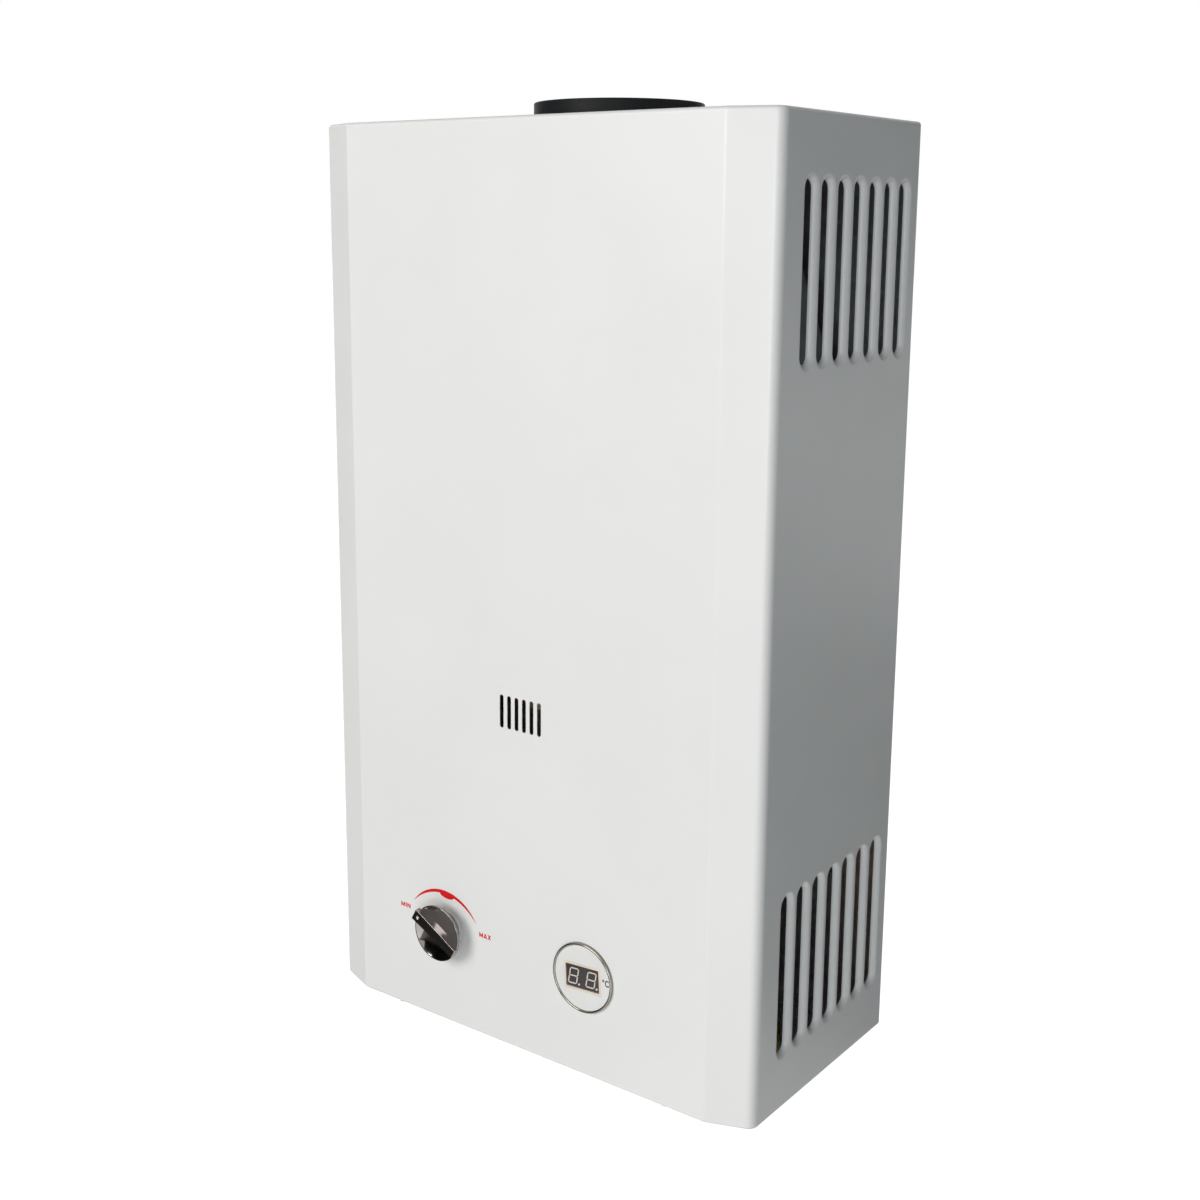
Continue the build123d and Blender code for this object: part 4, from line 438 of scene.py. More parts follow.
side_start = front_y + BEVEL_SETBACK + CORNER_RADIUS * math.tan((math.pi / 2 - bevel_angle) / 2)
flat_end = half_width - BEVEL_WIDTH - CREASE_RADIUS * math.tan(bevel_angle / 2)
front_lines = [np.array((0.0, flat_end - BY_BEND, flat_end))]
side_lines = [np.array((side_start, side_start + BY_BEND, rear_y))]
up_lines = [np.array((bottom_z + EDGE_RADIUS, bottom_z + EDGE_RADIUS + BY_BEND))]
up_lines.append(np.array((top_z - EDGE_RADIUS - BY_BEND, top_z - EDGE_RADIUS)))
for wall, across, middle, half, spine, radius, lip in cut_outs:
    steps = COARSE_STEPS if radius == VIEW_WIDTH / 2 else FINE_STEPS
    if wall == "front":
        front_lines.append(np.abs(slot_across(across, half, steps)))
    else:
        side_lines.append(slot_across(across, half, steps))
    up_lines.append(slot_along(middle, spine, half, (steps + 1) // 2))
front_lines = np.unique(np.round(np.concatenate(front_lines), 4))
side_lines = np.unique(np.round(np.concatenate(side_lines), 4))
up_lines = np.unique(np.round(np.concatenate(up_lines), 4))


def cover_plan(inset):
    """Plan of the cover drawn in by an inset: lines keep their share of each straight run, and bends
    turn evenly."""
    crease = max(CREASE_RADIUS - inset, FLANGE_CORNER)
    corner = max(CORNER_RADIUS - inset, FLANGE_CORNER)
    crease_x = half_width - BEVEL_WIDTH - (inset + crease) * math.tan(bevel_angle / 2)
    turn = (math.pi / 2 - bevel_angle) / 2
    corner_y = front_y + BEVEL_SETBACK + (inset + corner) * math.tan(turn)
    front_run = front_lines / flat_end * crease_x
    fold = np.linspace(0, bevel_angle, 7)
    crease_arc = (crease_x + crease * np.sin(fold), front_y + inset + crease * (1 - np.cos(fold)))
    bend = np.linspace(bevel_angle, math.pi / 2, 11)
    corner_arc = (
        half_width - inset - corner + corner * np.sin(bend),
        corner_y - corner * np.cos(bend),
    )
    share = np.array((BY_FOLD, 1 - BY_FOLD))
    bevel_x = crease_arc[0][-1] + share * (corner_arc[0][0] - crease_arc[0][-1])
    bevel_y = crease_arc[1][-1] + share * (corner_arc[1][0] - crease_arc[1][-1])
    side_run = rear_y + (side_lines - rear_y) * (rear_y - corner_y) / (rear_y - side_start)
    front_depth = np.full(len(front_run), front_y + inset)
    side_x = np.full(len(side_run) - 1, half_width - inset)
    x = np.concatenate((front_run, crease_arc[0][1:], bevel_x, corner_arc[0], side_x))
    y = np.concatenate((front_depth, crease_arc[1][1:], bevel_y, corner_arc[1], side_run[1:]))
    right = np.stack((x, y), axis=-1)
    return np.concatenate((right[:0:-1] * (-1, 1), right))


def sheet_rows(rows):
    """Grid of a sheet whose rows are open lines with the same number of points."""
    points = np.stack(rows)
    count = points.shape[1]
    row, point = np.meshgrid(np.arange(len(rows) - 1), np.arange(count - 1), indexing="ij")
    corner = row * count + point
    faces = np.stack((corner, corner + 1, corner + count + 1, corner + count), axis=-1)
    return points.reshape(-1, 3), faces.reshape(-1, 4)


def at_height(plan, z):
    """A plan line lifted to a height."""
    return np.column_stack((plan, np.full(len(plan), z)))


def on_wall(wall, across, up, depth):
    """A point of a wall from its place across and up, and its depth behind the outside."""
    if wall == "front":
        return np.stack((across, front_y + depth, up), axis=-1)
    sign = 1 if wall == "right" else -1
    return np.stack((sign * (half_width - depth), across, up), axis=-1)


def in_cell(points, cut_out):
    """Which points of the walls lie inside a cut-out's cell."""
    wall, across, middle, half, spine, radius, lip = cut_out
    if wall == "front":
        on_face = np.abs(points[:, 1] - front_y) < TOUCHING
        near = on_face & (np.abs(points[:, 0] - across) < half)
    else:
        sign = 1 if wall == "right" else -1
        on_face = np.abs(points[:, 0] - sign * half_width) < TOUCHING
        near = on_face & (np.abs(points[:, 1] - across) < half)
    return near & (np.abs(points[:, 2] - middle) < half + spine)


def slot_patch(cut_out):
    """Sheet between a cell's rim and its slot: each rim point runs straight to the spine's nearest point,
    and the lip then turns inwards by a quarter round: out = a + R - R sin t, depth = R (1 - cos t)."""
    wall, across, middle, half, spine, radius, lip = cut_out
    lines = side_lines if wall != "front" else np.unique(np.concatenate((-front_lines, front_lines)))
    u = lines[np.abs(lines - across) < half + TOUCHING]
    v = up_lines[np.abs(up_lines - middle) < half + spine + TOUCHING]
    rim_u = np.concatenate((u[:-1], np.full(len(v) - 1, u[-1]), u[:0:-1], np.full(len(v) - 1, u[0])))
    rim_v = np.concatenate((np.full(len(u) - 1, v[0]), v[:-1], np.full(len(u) - 1, v[-1]), v[:0:-1]))
    spine_v = np.clip(rim_v, middle - spine, middle + spine)
    far = np.hypot(rim_u - across, rim_v - spine_v)
    out_u, out_v = (rim_u - across) / far, (rim_v - spine_v) / far
    turn = np.linspace(0, np.pi / 2, 8 if lip > 1 else 4) if lip else np.zeros(1)
    flat = min(SLOT_FLAT, half - radius - lip)
    reach = np.concatenate(([radius + lip + flat], radius + lip - lip * np.sin(turn)))
    depth = np.concatenate(([0.0], lip * (1 - np.cos(turn))))
    rows = [on_wall(wall, rim_u, rim_v, rim_u * 0)]
    for far_out, deep in zip(reach, depth):
        rows.append(on_wall(wall, across + out_u * far_out, spine_v + out_v * far_out, rim_u * 0 + deep))
    return np.concatenate(rows), ring_faces(len(rows), len(rim_u))


wall_points, wall_faces = sheet_rows([at_height(cover_plan(0.0), z) for z in up_lines])
wall_middles = wall_points[wall_faces].mean(axis=1)
cut_away = np.any([in_cell(wall_middles, cut_out) for cut_out in cut_outs], axis=0)
patches = [(wall_points, wall_faces[~cut_away])]
patches += [slot_patch(cut_out) for cut_out in cut_outs]

bend_turns = np.linspace(0, np.pi / 2, 7)
top_rows = [
    at_height(cover_plan(EDGE_RADIUS * (1 - np.cos(t))), top_z - EDGE_RADIUS * (1 - np.sin(t)))
    for t in bend_turns
]
patches.append(sheet_rows(top_rows))
bottom_rows = [row * (1, 1, -1) + (0, 0, top_z + bottom_z) for row in top_rows]
flange_insets = (EDGE_RADIUS + BY_BEND, FLANGE_WIDTH)
bottom_rows += [at_height(cover_plan(inset), bottom_z) for inset in flange_insets]
patches.append(sheet_rows(bottom_rows))

FLUE_HOLE = 56.5
BACK_STEPS = 26
BY_RIM = 0.01
top_edge = top_rows[-1]
back_edge = np.linspace(top_edge[-1], top_edge[0], BACK_STEPS)[1:-1]
top_rim = np.concatenate((top_edge, back_edge))
from_flue = top_rim[:, :2] - (0, collar_middle)
flue_rim = top_rim.copy()
flue_rim[:, :2] = (0, collar_middle) + FLUE_HOLE * from_flue / np.linalg.norm(from_flue, axis=1)[:, None]
top_loops = [top_rim, top_rim + BY_RIM * (flue_rim - top_rim), flue_rim]
patches.append((np.concatenate(top_loops), ring_faces(3, len(top_rim))))


def joined(parts):
    """One set of points and faces from several."""
    starts = np.cumsum([0] + [len(points) for points, faces in parts])
    faces = np.concatenate([faces + start for (points, faces), start in zip(parts, starts)])
    return np.concatenate([points for points, faces in parts]), faces


cover_mesh = outward_mesh("cover_sheet", *joined(patches))
front_face = min(cover_mesh.polygons, key=lambda face: face.center.y)
if front_face.normal.y > 0:
    cover_mesh.flip_normals()


def finished_by(mesh, kind, **settings):
    """A copy of a mesh with one modifier worked into it."""
    holder = bpy.data.objects.new(mesh.name, mesh)
    bpy.context.scene.collection.objects.link(holder)
    modifier = holder.modifiers.new(kind.lower(), kind)
    for setting, value in settings.items():
        setattr(modifier, setting, value)
    view = bpy.context.evaluated_depsgraph_get()
    result = bpy.data.meshes.new_from_object(holder.evaluated_get(view))
    bpy.data.objects.remove(holder)
    name = mesh.name
    bpy.data.meshes.remove(mesh)
    result.name = name
    return result


cover_mesh = finished_by(cover_mesh, "SOLIDIFY", thickness=SHEET * MM, offset=-1.0, use_even_offset=True)
white_enamel, tree, shader, coords = start_finish("white_stove_enamel", coat=0.1)
lay_colour(tree, shader, cloud(tree, coords, 9.0), (0.765, 0.765, 0.752), (0.785, 0.785, 0.775))
lay_gloss(tree, shader, cloud(tree, coords, 28.0), 0.32, 0.39)
lay_relief(tree, shader, cloud(tree, coords, 330.0), 0.000012)
shader.inputs["Specular IOR Level"].default_value = 0.4
shader.inputs["Coat Roughness"].default_value = 0.2
add_piece(cover_mesh, white_enamel, "heater", "front_cover", crease=40.0)

# Printed scale
# Red screen print on the enamel round the knob: an arc that runs to a point at both ends, with a
# small swelling on its inner edge, and the words for the two ends of the range.
PRINT_LIFT = 0.06
SCALE_X, SCALE_UP = -65.7, 60.6
SCALE_RADIUS = 32.9
SCALE_START, SCALE_END = 145.0, 31.0
SCALE_WIDTH, SCALE_TAPER = 2.4, 0.7
SCALE_STEPS = 141
SWELL_ANGLE, SWELL_HALF, SWELL_DEPTH = 85.0, 11.5, 2.7
red_print = worked_finish("red_screen_print", (0.62, 0.006, 0.010), (0.70, 0.010, 0.014), 500.0, 0.40, 0.50)
red_print.node_tree.nodes["Principled BSDF"].inputs["Specular IOR Level"].default_value = 0.2


def printed_arc():
    """Arc between an outer circle and an inner line: width = W sin(pi s)^taper, plus a half oval for
    the swelling."""
    share = np.linspace(0, 1, SCALE_STEPS)
    angle = SCALE_START + (SCALE_END - SCALE_START) * share
    swell = np.clip(1 - ((angle - SWELL_ANGLE) / SWELL_HALF) ** 2, 0, None) ** 0.5
    width = SCALE_WIDTH * np.sin(np.pi * share) ** SCALE_TAPER + SWELL_DEPTH * swell
    rows = []
    for far_in in (0.0, 1.0):
        radius = SCALE_RADIUS - far_in * width
        x = SCALE_X + radius * np.cos(np.radians(angle))
        z = bottom_z + SCALE_UP + radius * np.sin(np.radians(angle))
        rows.append(np.stack((x, x * 0 + front_y - PRINT_LIFT, z), axis=-1))
    return sheet_rows(rows)


def facing_front(mesh):
    """Turns the faces of a flat print so that they face the front."""
    work = bmesh.new()
    work.from_mesh(mesh)
    bmesh.ops.reverse_faces(work, faces=[face for face in work.faces if face.normal.y > 0])
    work.to_mesh(mesh)
    work.free()
    return mesh


scale_mesh = facing_front(outward_mesh("scale_print", *printed_arc()))
add_piece(scale_mesh, red_print, "heater")

WORD_HEIGHT = 3.2
WORD_STROKE = 0.75
LETTER_GAP = 0.28
STROKE_STEP = 0.004
# Each letter: its width in heights, then strokes as x, z, x, z in shares of its width and height.
LETTERS = {
    "M": (1.05, ((0, 0, 0, 1), (0, 1, 0.5, 0.1), (0.5, 0.1, 1, 1), (1, 0, 1, 1))),
    "I": (0.0, ((0, 0, 0, 1),)),
    "N": (0.8, ((0, 0, 0, 1), (0, 1, 1, 0), (1, 0, 1, 1))),
    "A": (0.95, ((0, 0, 0.5, 1), (1, 0, 0.5, 1), (0.2, 0.22, 0.8, 0.22))),
    "X": (0.85, ((0, 0, 1, 1), (0, 1, 1, 0))),
}


def stroked_word(words, width):
    """Block letters: each stroke is a flat bar cut off level at both ends, a hair in front of the one before
    it. A slanted stroke's level width is its thickness over the sine of its slope."""
    strokes, start = [], 0.0
    for letter in words:
        wide, lines = LETTERS[letter]
        strokes += [(start + x0 * wide, z0, start + x1 * wide, z1) for x0, z0, x1, z1 in lines]
        start += wide + LETTER_GAP + WORD_STROKE / WORD_HEIGHT
    x0, z0, x1, z1 = np.array(strokes).T
    spread = (width - WORD_STROKE) / (start - LETTER_GAP - WORD_STROKE / WORD_HEIGHT)
    middle = (width - WORD_STROKE) / 2
    x0, x1 = x0 * spread - middle, x1 * spread - middle
    z0, z1 = (z0 - 0.5) * WORD_HEIGHT, (z1 - 0.5) * WORD_HEIGHT
    level = z0 == z1
    rise = np.where(level, 1, z1 - z0)
    half = np.where(level, 0, WORD_STROKE / 2 * np.hypot(x1 - x0, rise) / np.abs(rise))
    lift = np.where(level, WORD_STROKE / 2, 0)
    x = np.stack((x0 - half, x0 + half, x1 + half, x1 - half), axis=-1)
    z = np.stack((z0 - lift, z0 + lift, z1 + lift, z1 - lift), axis=-1)
    y = np.repeat(STROKE_STEP * np.arange(len(x0))[:, None], 4, axis=1)
    return np.stack((x, -y, z), axis=-1).reshape(-1, 3), np.arange(4 * len(x0)).reshape(-1, 4)


for name, words, width, across, up in (
    ("min_print", "MIN", 8.6, -100.5, 73.8),
    ("max_print", "MAX", 10.0, -29.8, 71.1),
):
    points, faces = stroked_word(words, width)
    word_mesh = outward_mesh(name, points + (across, front_y - PRINT_LIFT, bottom_z + up), faces)
    add_piece(facing_front(word_mesh), red_print, "heater")

# Knob and its plinth
# The knob is moulded, plated in smoked chrome and pressed on the valve's spindle: a dished round body
# that narrows to the back, with a raised pointer bar across it. Behind it lies a white moulded ring.
KNOB_RADIUS = 19.0
KNOB_BACK_RADIUS = 13.0
KNOB_RIM = 8.0
RIM_BAND = 1.5
RIM_WIDTH = 0.8
RIM_ROUND = 0.3
DISH_DEPTH = 3.5
BAR_TOP = 10.5
BAR_FOOT = 4.0
BAR_TAIL, BAR_NOSE = -19.0, 20.5
TAIL_HALF, NOSE_HALF = 3.1, 4.1
BAR_HOLLOW = 0.45
BAR_STEPS = 40
FOOT_INSET = 1.0
KNOB_EDGE = 0.6
POINTER_ANGLE = 151.0
DIMPLE_PLACE, DIMPLE_RADIUS, DIMPLE_DEPTH = 16.4, 1.5, 0.9
DIMPLE_REACH, DIMPLE_STEPS = 1.6, 17
knob_back = box_mm("control_knob")[1][1]
dish_half = KNOB_RADIUS - RIM_WIDTH
dish_ball = (dish_half**2 + DISH_DEPTH**2) / (2 * DISH_DEPTH)
dish_across = dish_half * np.cos(np.linspace(0, np.pi / 2, 24))
dish_height = KNOB_RIM - DISH_DEPTH + dish_ball - np.sqrt(dish_ball**2 - dish_across**2)
knob_profile = [
    (0.0, 0.0),
    (KNOB_BACK_RADIUS, 0.0),
    (KNOB_RADIUS, KNOB_RIM - RIM_BAND),
    *round_corner((KNOB_RADIUS - RIM_ROUND, KNOB_RIM - RIM_ROUND), RIM_ROUND, 0, 90),
    *zip(dish_across, dish_height),
]


def grip_bar():
    """Bar of the knob: width runs straight from tail to nose. Its top sinks by D (1 - s^2 / 2 - t^2 / 2)
    across and along, and by a round dimple d (1 - (r / R)^2)^2. Its underside lies inside the body and
    rises at both ends."""
    by_dimple = DIMPLE_PLACE + np.linspace(-DIMPLE_REACH, DIMPLE_REACH, DIMPLE_STEPS)
    along = np.concatenate((np.linspace(BAR_TAIL, BAR_NOSE, BAR_STEPS), by_dimple))
    along = np.unique(np.round(along, 3))[:, None]
    share = np.concatenate(([-1], np.linspace(-0.7, 0.7, 25), [1]))[None, :]
    far = (along - BAR_TAIL) / (BAR_NOSE - BAR_TAIL)
    u = along + 0 * share
    v = share * (TAIL_HALF + (NOSE_HALF - TAIL_HALF) * far)
    sunk = BAR_HOLLOW * (1 - 0.5 * share**2 - 0.5 * (2 * far - 1) ** 2)
    dimple = np.clip(1 - ((u - DIMPLE_PLACE) ** 2 + v**2) / DIMPLE_RADIUS**2, 0, None) ** 2
    top = np.stack((u, v, BAR_TOP - sunk - DIMPLE_DEPTH * dimple), axis=-1)
    foot = top.copy()
    foot_end = KNOB_RIM - RIM_BAND
    foot[..., 2] = np.clip(foot_end - (KNOB_RADIUS - FOOT_INSET - np.abs(u)), BAR_FOOT, foot_end)
    edges = [np.concatenate((g[0, :-1], g[:-1, -1], g[-1, :0:-1], g[:0:-1, 0])) for g in (top, foot)]
    return [sheet_rows(top), sheet_rows(foot), (np.concatenate(edges), ring_faces(2, len(edges[0])))]


def stood_on_front(points, across, back, up, turn=0.0):
    """Local points (along, across, height) set on the front: height runs forwards, and along is turned
    from +X."""
    turn = math.radians(turn)
    x = across + points[:, 0] * math.cos(turn) - points[:, 1] * math.sin(turn)
    z = up + points[:, 0] * math.sin(turn) + points[:, 1] * math.cos(turn)
    return np.column_stack((x, back - points[:, 2], z))


points, faces = joined([turned(knob_profile, steps=128), *grip_bar()])
knob_mesh = outward_mesh("knob_grip", stood_on_front(points, knob_x, knob_back, knob_z, POINTER_ANGLE), faces)
knob_mesh = finished_by(
    knob_mesh, "BEVEL", width=KNOB_EDGE * MM, segments=4, limit_method="ANGLE", angle_limit=0.7
)
smoked_chrome = worked_finish(
    "smoked_chrome", (0.25, 0.235, 0.23), (0.31, 0.29, 0.28), 45.0, 0.06, 0.11, 1.0, (1, 1, 1), 0.000004
)
add_piece(knob_mesh, smoked_chrome, "knob", "control_knob")

white_plastic = moulded_plastic(
    "white_plastic", (0.72, 0.72, 0.705), (0.76, 0.76, 0.745), 0.26, 0.36, 0.00001
)
PLINTH_BORE = 5.0
PLINTH_NECK = 9.5
PLINTH_ROUND = 0.8
plinth_radius, plinth_front = (plinth_high[0] - plinth_low[0]) / 2, -plinth_low[1] + front_y
plinth_back = -plinth_high[1] + front_y
plinth_profile = [
    (PLINTH_BORE, plinth_back),
    (PLINTH_NECK, plinth_back),
    (PLINTH_NECK, 0.0),
    (plinth_radius, 0.0),
    *round_corner((plinth_radius - PLINTH_ROUND, plinth_front - PLINTH_ROUND), PLINTH_ROUND, 0, 90),
    (PLINTH_BORE, plinth_front),
]
points, faces = turned(plinth_profile, steps=96)
plinth_mesh = outward_mesh("plinth_ring", stood_on_front(points, knob_x, front_y, knob_z), faces)
add_piece(plinth_mesh, white_plastic, "heater", "knob_plinth")

# Display
# White moulded face in a thin bright-chrome ring, clamped from behind by a ring nut.
# A two-digit segment block shows through its window; its unlit segments are cream.
dress(white_plastic, "display_housing")
BEZEL_WIDTH = 1.7
bezel_radius, bezel_height = (bezel_high[0] - bezel_low[0]) / 2, bezel_high[1] - bezel_low[1]
bezel_middle = bezel_radius - BEZEL_WIDTH / 2
bezel_crown = BEZEL_WIDTH / 2
bezel_profile = [
    (bezel_radius, 0.0),
    *round_corner((bezel_middle, bezel_height - bezel_crown), bezel_crown, 0, 180, steps=13),
    (bezel_radius - BEZEL_WIDTH, 0.0),
]
points, faces = turned(bezel_profile, steps=128)
bezel_mesh = outward_mesh("bezel_ring", stood_on_front(points, display_x, front_y, display_z), faces)
bright_chrome = worked_finish(
    "bright_chrome", (0.20, 0.19, 0.165), (0.29, 0.275, 0.24), 90.0, 0.08, 0.14, 1.0, (1, 1, 1), 0.000003
)
add_piece(bezel_mesh, bright_chrome, "heater", "display_bezel")


def rounded_frame(width, height, radius, steps=5):
    """Outline of a rectangle with round corners, anticlockwise."""
    corners = ((1, 1, 0), (-1, 1, 90), (-1, -1, 180), (1, -1, 270))
    outline = []
    for sx, sy, start in corners:
        centre = (sx * (width / 2 - radius), sy * (height / 2 - radius))
        outline += round_corner(centre, radius, start, start + 90, steps)
    return np.array(outline)


LED_WIDTH = 25.2
LED_HEIGHT = 14.6
LED_TURN = 3.5
LED_EDGE = 0.25
LED_CORNER = 0.6
LED_INSET = 3.0
led_low, led_high = box_mm("led_module")
led_depth = led_high[1] - led_low[1]
led_rows = []
for inset, lift in ((0.0, 0.0), (0.0, led_depth - LED_EDGE), (LED_EDGE, led_depth), (LED_INSET, led_depth)):
    outline = rounded_frame(LED_WIDTH - 2 * inset, LED_HEIGHT - 2 * inset, LED_CORNER)
    led_rows.append(np.column_stack((outline, np.full(len(outline), lift))))
points = np.concatenate(led_rows)
count = len(led_rows[0])
faces = ring_faces(len(led_rows), count).tolist()
faces += [list(range(count)), list(range(3 * count, 4 * count))]
points = stood_on_front(points, display_x, led_high[1], display_z, LED_TURN)
led_mesh = outward_mesh("segment_case", points, faces)
led_black = moulded_plastic(
    "segment_case_grey", (0.034, 0.030, 0.033), (0.048, 0.042, 0.046), 0.35, 0.5, 0.00002
)
add_piece(led_mesh, led_black, "heater", "led_module")

DIGIT_HEIGHT = 10.9
DIGIT_WIDTH = 7.2
DIGIT_SLANT = 13.0
SEGMENT = 0.85
SEGMENT_GAP = 0.16
DIGIT_PLACES = (-7.0, 6.7)
POINT_PLACE = 4.1
POINT_RADIUS = 0.75
cream_lens = worked_finish("cream_segment_lens", (0.62, 0.55, 0.44), (0.72, 0.66, 0.55), 400.0, 0.3, 0.4)


def digit_segments():
    """Seven segments of one digit and its point, flat, leaning to the right by the slant."""
    half_w, half_h = (DIGIT_WIDTH - SEGMENT) / 2, (DIGIT_HEIGHT - SEGMENT) / 2
    lean = math.tan(math.radians(DIGIT_SLANT))
    places = [(0, half_h, 0), (0, 0, 0), (0, -half_h, 0)]
    places += [(x, z, 90) for x in (-half_w, half_w) for z in (-half_h / 2, half_h / 2)]
    shapes = []
    for x, z, turn in places:
        half = (half_h / 2 if turn else half_w) - SEGMENT_GAP
        t = SEGMENT / 2
        inner = half - t
        bar = np.array(((-half, 0), (-inner, -t), (inner, -t), (half, 0), (inner, t), (-inner, t)))
        if turn:
            bar = bar[:, ::-1] * (-1, 1)
        shapes.append(bar + (x, z))
    circle = np.array(round_corner((POINT_PLACE, -half_h), POINT_RADIUS, 0, 345, steps=24))
    shapes.append(circle + (lean * half_h, 0))
    return [shape + np.column_stack((shape[:, 1] * lean, shape[:, 1] * 0)) for shape in shapes]


points, faces = [], []
for place in DIGIT_PLACES:
    for shape in digit_segments():
        faces.append(list(range(len(points), len(points) + len(shape))))
        points += [(x + place, z, led_depth + PRINT_LIFT) for x, z in shape]
points = stood_on_front(np.array(points), display_x, led_high[1], display_z, LED_TURN)
digits_mesh = outward_mesh("digit_segments", points, faces)
add_piece(facing_front(digits_mesh), cream_lens, "heater")

FRAME_BORDER = 1.6
FRAME_GAP = 0.25
FRAME_CORNER = 0.5
face_y = box_mm("display_housing")[0][1]
frame_rows = []
for border in (FRAME_GAP, FRAME_BORDER + FRAME_GAP):
    outline = rounded_frame(LED_WIDTH + 2 * border, LED_HEIGHT + 2 * border, FRAME_CORNER)
    frame_rows.append(np.column_stack((outline, np.full(len(outline), PRINT_LIFT))))
points = stood_on_front(np.concatenate(frame_rows), display_x, face_y, display_z, LED_TURN)
frame_mesh = outward_mesh("window_border", points, ring_faces(2, len(frame_rows[0])))
cream_border = worked_finish("cream_window_border", (0.70, 0.59, 0.52), (0.77, 0.68, 0.53), 60.0, 0.35, 0.5)
add_piece(facing_front(frame_mesh), cream_border, "heater")
grey_print = worked_finish(
    "grey_screen_print", (0.030, 0.030, 0.033), (0.045, 0.045, 0.048), 500.0, 0.35, 0.45
)


LETTER_SPACING = 1.12


def lettering(name, words, width, height, weight, place, turn=0.0):
    """Flat letters as a mesh on the front, drawn out to a width and a height about their middle, and
    turned."""
    text = bpy.data.curves.new(name, "FONT")
    text.body = words
    text.offset = weight
    text.space_character = LETTER_SPACING
    text.resolution_u = 6
    holder = bpy.data.objects.new(name, text)
    bpy.context.scene.collection.objects.link(holder)
    view = bpy.context.evaluated_depsgraph_get()
    mesh = bpy.data.meshes.new_from_object(holder.evaluated_get(view))
    bpy.data.objects.remove(holder)
    mesh.name = name
    corners = np.empty(3 * len(mesh.vertices))
    mesh.vertices.foreach_get("co", corners)
    corners = corners.reshape(-1, 3)
    low, high = corners.min(axis=0), corners.max(axis=0)
    middle = (low + high) / 2
    drawn = (corners - middle) * (width / (high[0] - low[0]), height / (high[1] - low[1]), 0)
    turn = math.radians(turn)
    x = place[0] + drawn[:, 0] * math.cos(turn) - drawn[:, 1] * math.sin(turn)
    z = place[2] + drawn[:, 0] * math.sin(turn) + drawn[:, 1] * math.cos(turn)
    mesh.vertices.foreach_set("co", (np.column_stack((x, x * 0 + place[1], z)) * MM).ravel())
    mesh.update()
    return facing_front(mesh)


DEGREE_WIDTH, DEGREE_HEIGHT = 5.0, 4.6
DEGREE_ALONG, DEGREE_UP = 18.2, 0.8
DEGREE_WEIGHT = 0.03
degree_place = np.array([(DEGREE_ALONG, DEGREE_UP, PRINT_LIFT)])
degree_middle = stood_on_front(degree_place, display_x, face_y, display_z, LED_TURN)[0]
degree = lettering("degree_print", "°C", DEGREE_WIDTH, DEGREE_HEIGHT, DEGREE_WEIGHT, degree_middle, LED_TURN)
add_piece(degree, grey_print, "heater")

# Screws
# Zinc-plated pan-head sheet screws with a cross recess, all of one kind.
# They hold the cover, the floor, the collar and the battery box.
plated_screw = worked_finish(
    "zinc_plated_screw", (0.46, 0.46, 0.44), (0.60, 0.60, 0.57), 260.0, 0.22, 0.36, 1.0, (1, 1, 1), 0.00001
)
dress(plated_screw, "sheet_screws")

# Studio
# Pale floor well below the hung heater, two large soft lamps in front of it, even light all round, and
# dark cards that are seen only in reflections. The camera stands about where the photograph was taken from.
FLOOR_Z = -0.8
FLOOR_HALF = 30.0
FLOOR_GLOW = 0.93
AMBIENT = 0.08

floor_mesh = bpy.data.meshes.new("studio_floor")
floor_signs = ((-1, -1), (1, -1), (1, 1), (-1, 1))
floor_corners = [(x * FLOOR_HALF, y * FLOOR_HALF, FLOOR_Z) for x, y in floor_signs]
floor_mesh.from_pydata(floor_corners, [], [(0, 1, 2, 3)])
floor = bpy.data.objects.new("studio_floor", floor_mesh)
bpy.context.scene.collection.objects.link(floor)
floor_paint, tree, shader, coords = start_finish("floor_paint")
shader.inputs["Base Color"].default_value = (0.9, 0.9, 0.9, 1)
shader.inputs["Roughness"].default_value = 0.9
shader.inputs["Emission Color"].default_value = (1, 1, 1, 1)


def seen_or_mirrored(tree):
    """One for camera, glossy and transmission rays, and nought for the rays that carry light."""
    path = tree.nodes.new("ShaderNodeLightPath")
    mirrored = tree.nodes.new("ShaderNodeMath")
    mirrored.operation = "MAXIMUM"
    shown = tree.nodes.new("ShaderNodeMath")
    shown.operation = "MAXIMUM"
    tree.links.new(path.outputs["Is Glossy Ray"], mirrored.inputs[0])
    tree.links.new(path.outputs["Is Transmission Ray"], mirrored.inputs[1])
    tree.links.new(path.outputs["Is Camera Ray"], shown.inputs[0])
    tree.links.new(mirrored.outputs["Value"], shown.inputs[1])
    return shown.outputs["Value"]


glow = tree.nodes.new("ShaderNodeMath")
glow.operation = "MULTIPLY"
glow.inputs[1].default_value = FLOOR_GLOW
tree.links.new(seen_or_mirrored(tree), glow.inputs[0])
tree.links.new(glow.outputs["Value"], shader.inputs["Emission Strength"])
floor_mesh.materials.append(floor_paint)

world = bpy.data.worlds.new("studio_white")
bpy.context.scene.world = world
world.use_nodes = True
tree = world.node_tree
ambient = tree.nodes["Background"]
ambient.inputs["Color"].default_value = (0.87, 0.97, 1.0, 1)
ambient.inputs["Strength"].default_value = AMBIENT
white = tree.nodes.new("ShaderNodeBackground")
white.inputs["Color"].default_value = (1, 1, 1, 1)
choose = tree.nodes.new("ShaderNodeMixShader")
tree.links.new(seen_or_mirrored(tree), choose.inputs["Fac"])
tree.links.new(ambient.outputs["Background"], choose.inputs[1])
tree.links.new(white.outputs["Background"], choose.inputs[2])
tree.links.new(choose.outputs["Shader"], tree.nodes["World Output"].inputs["Surface"])


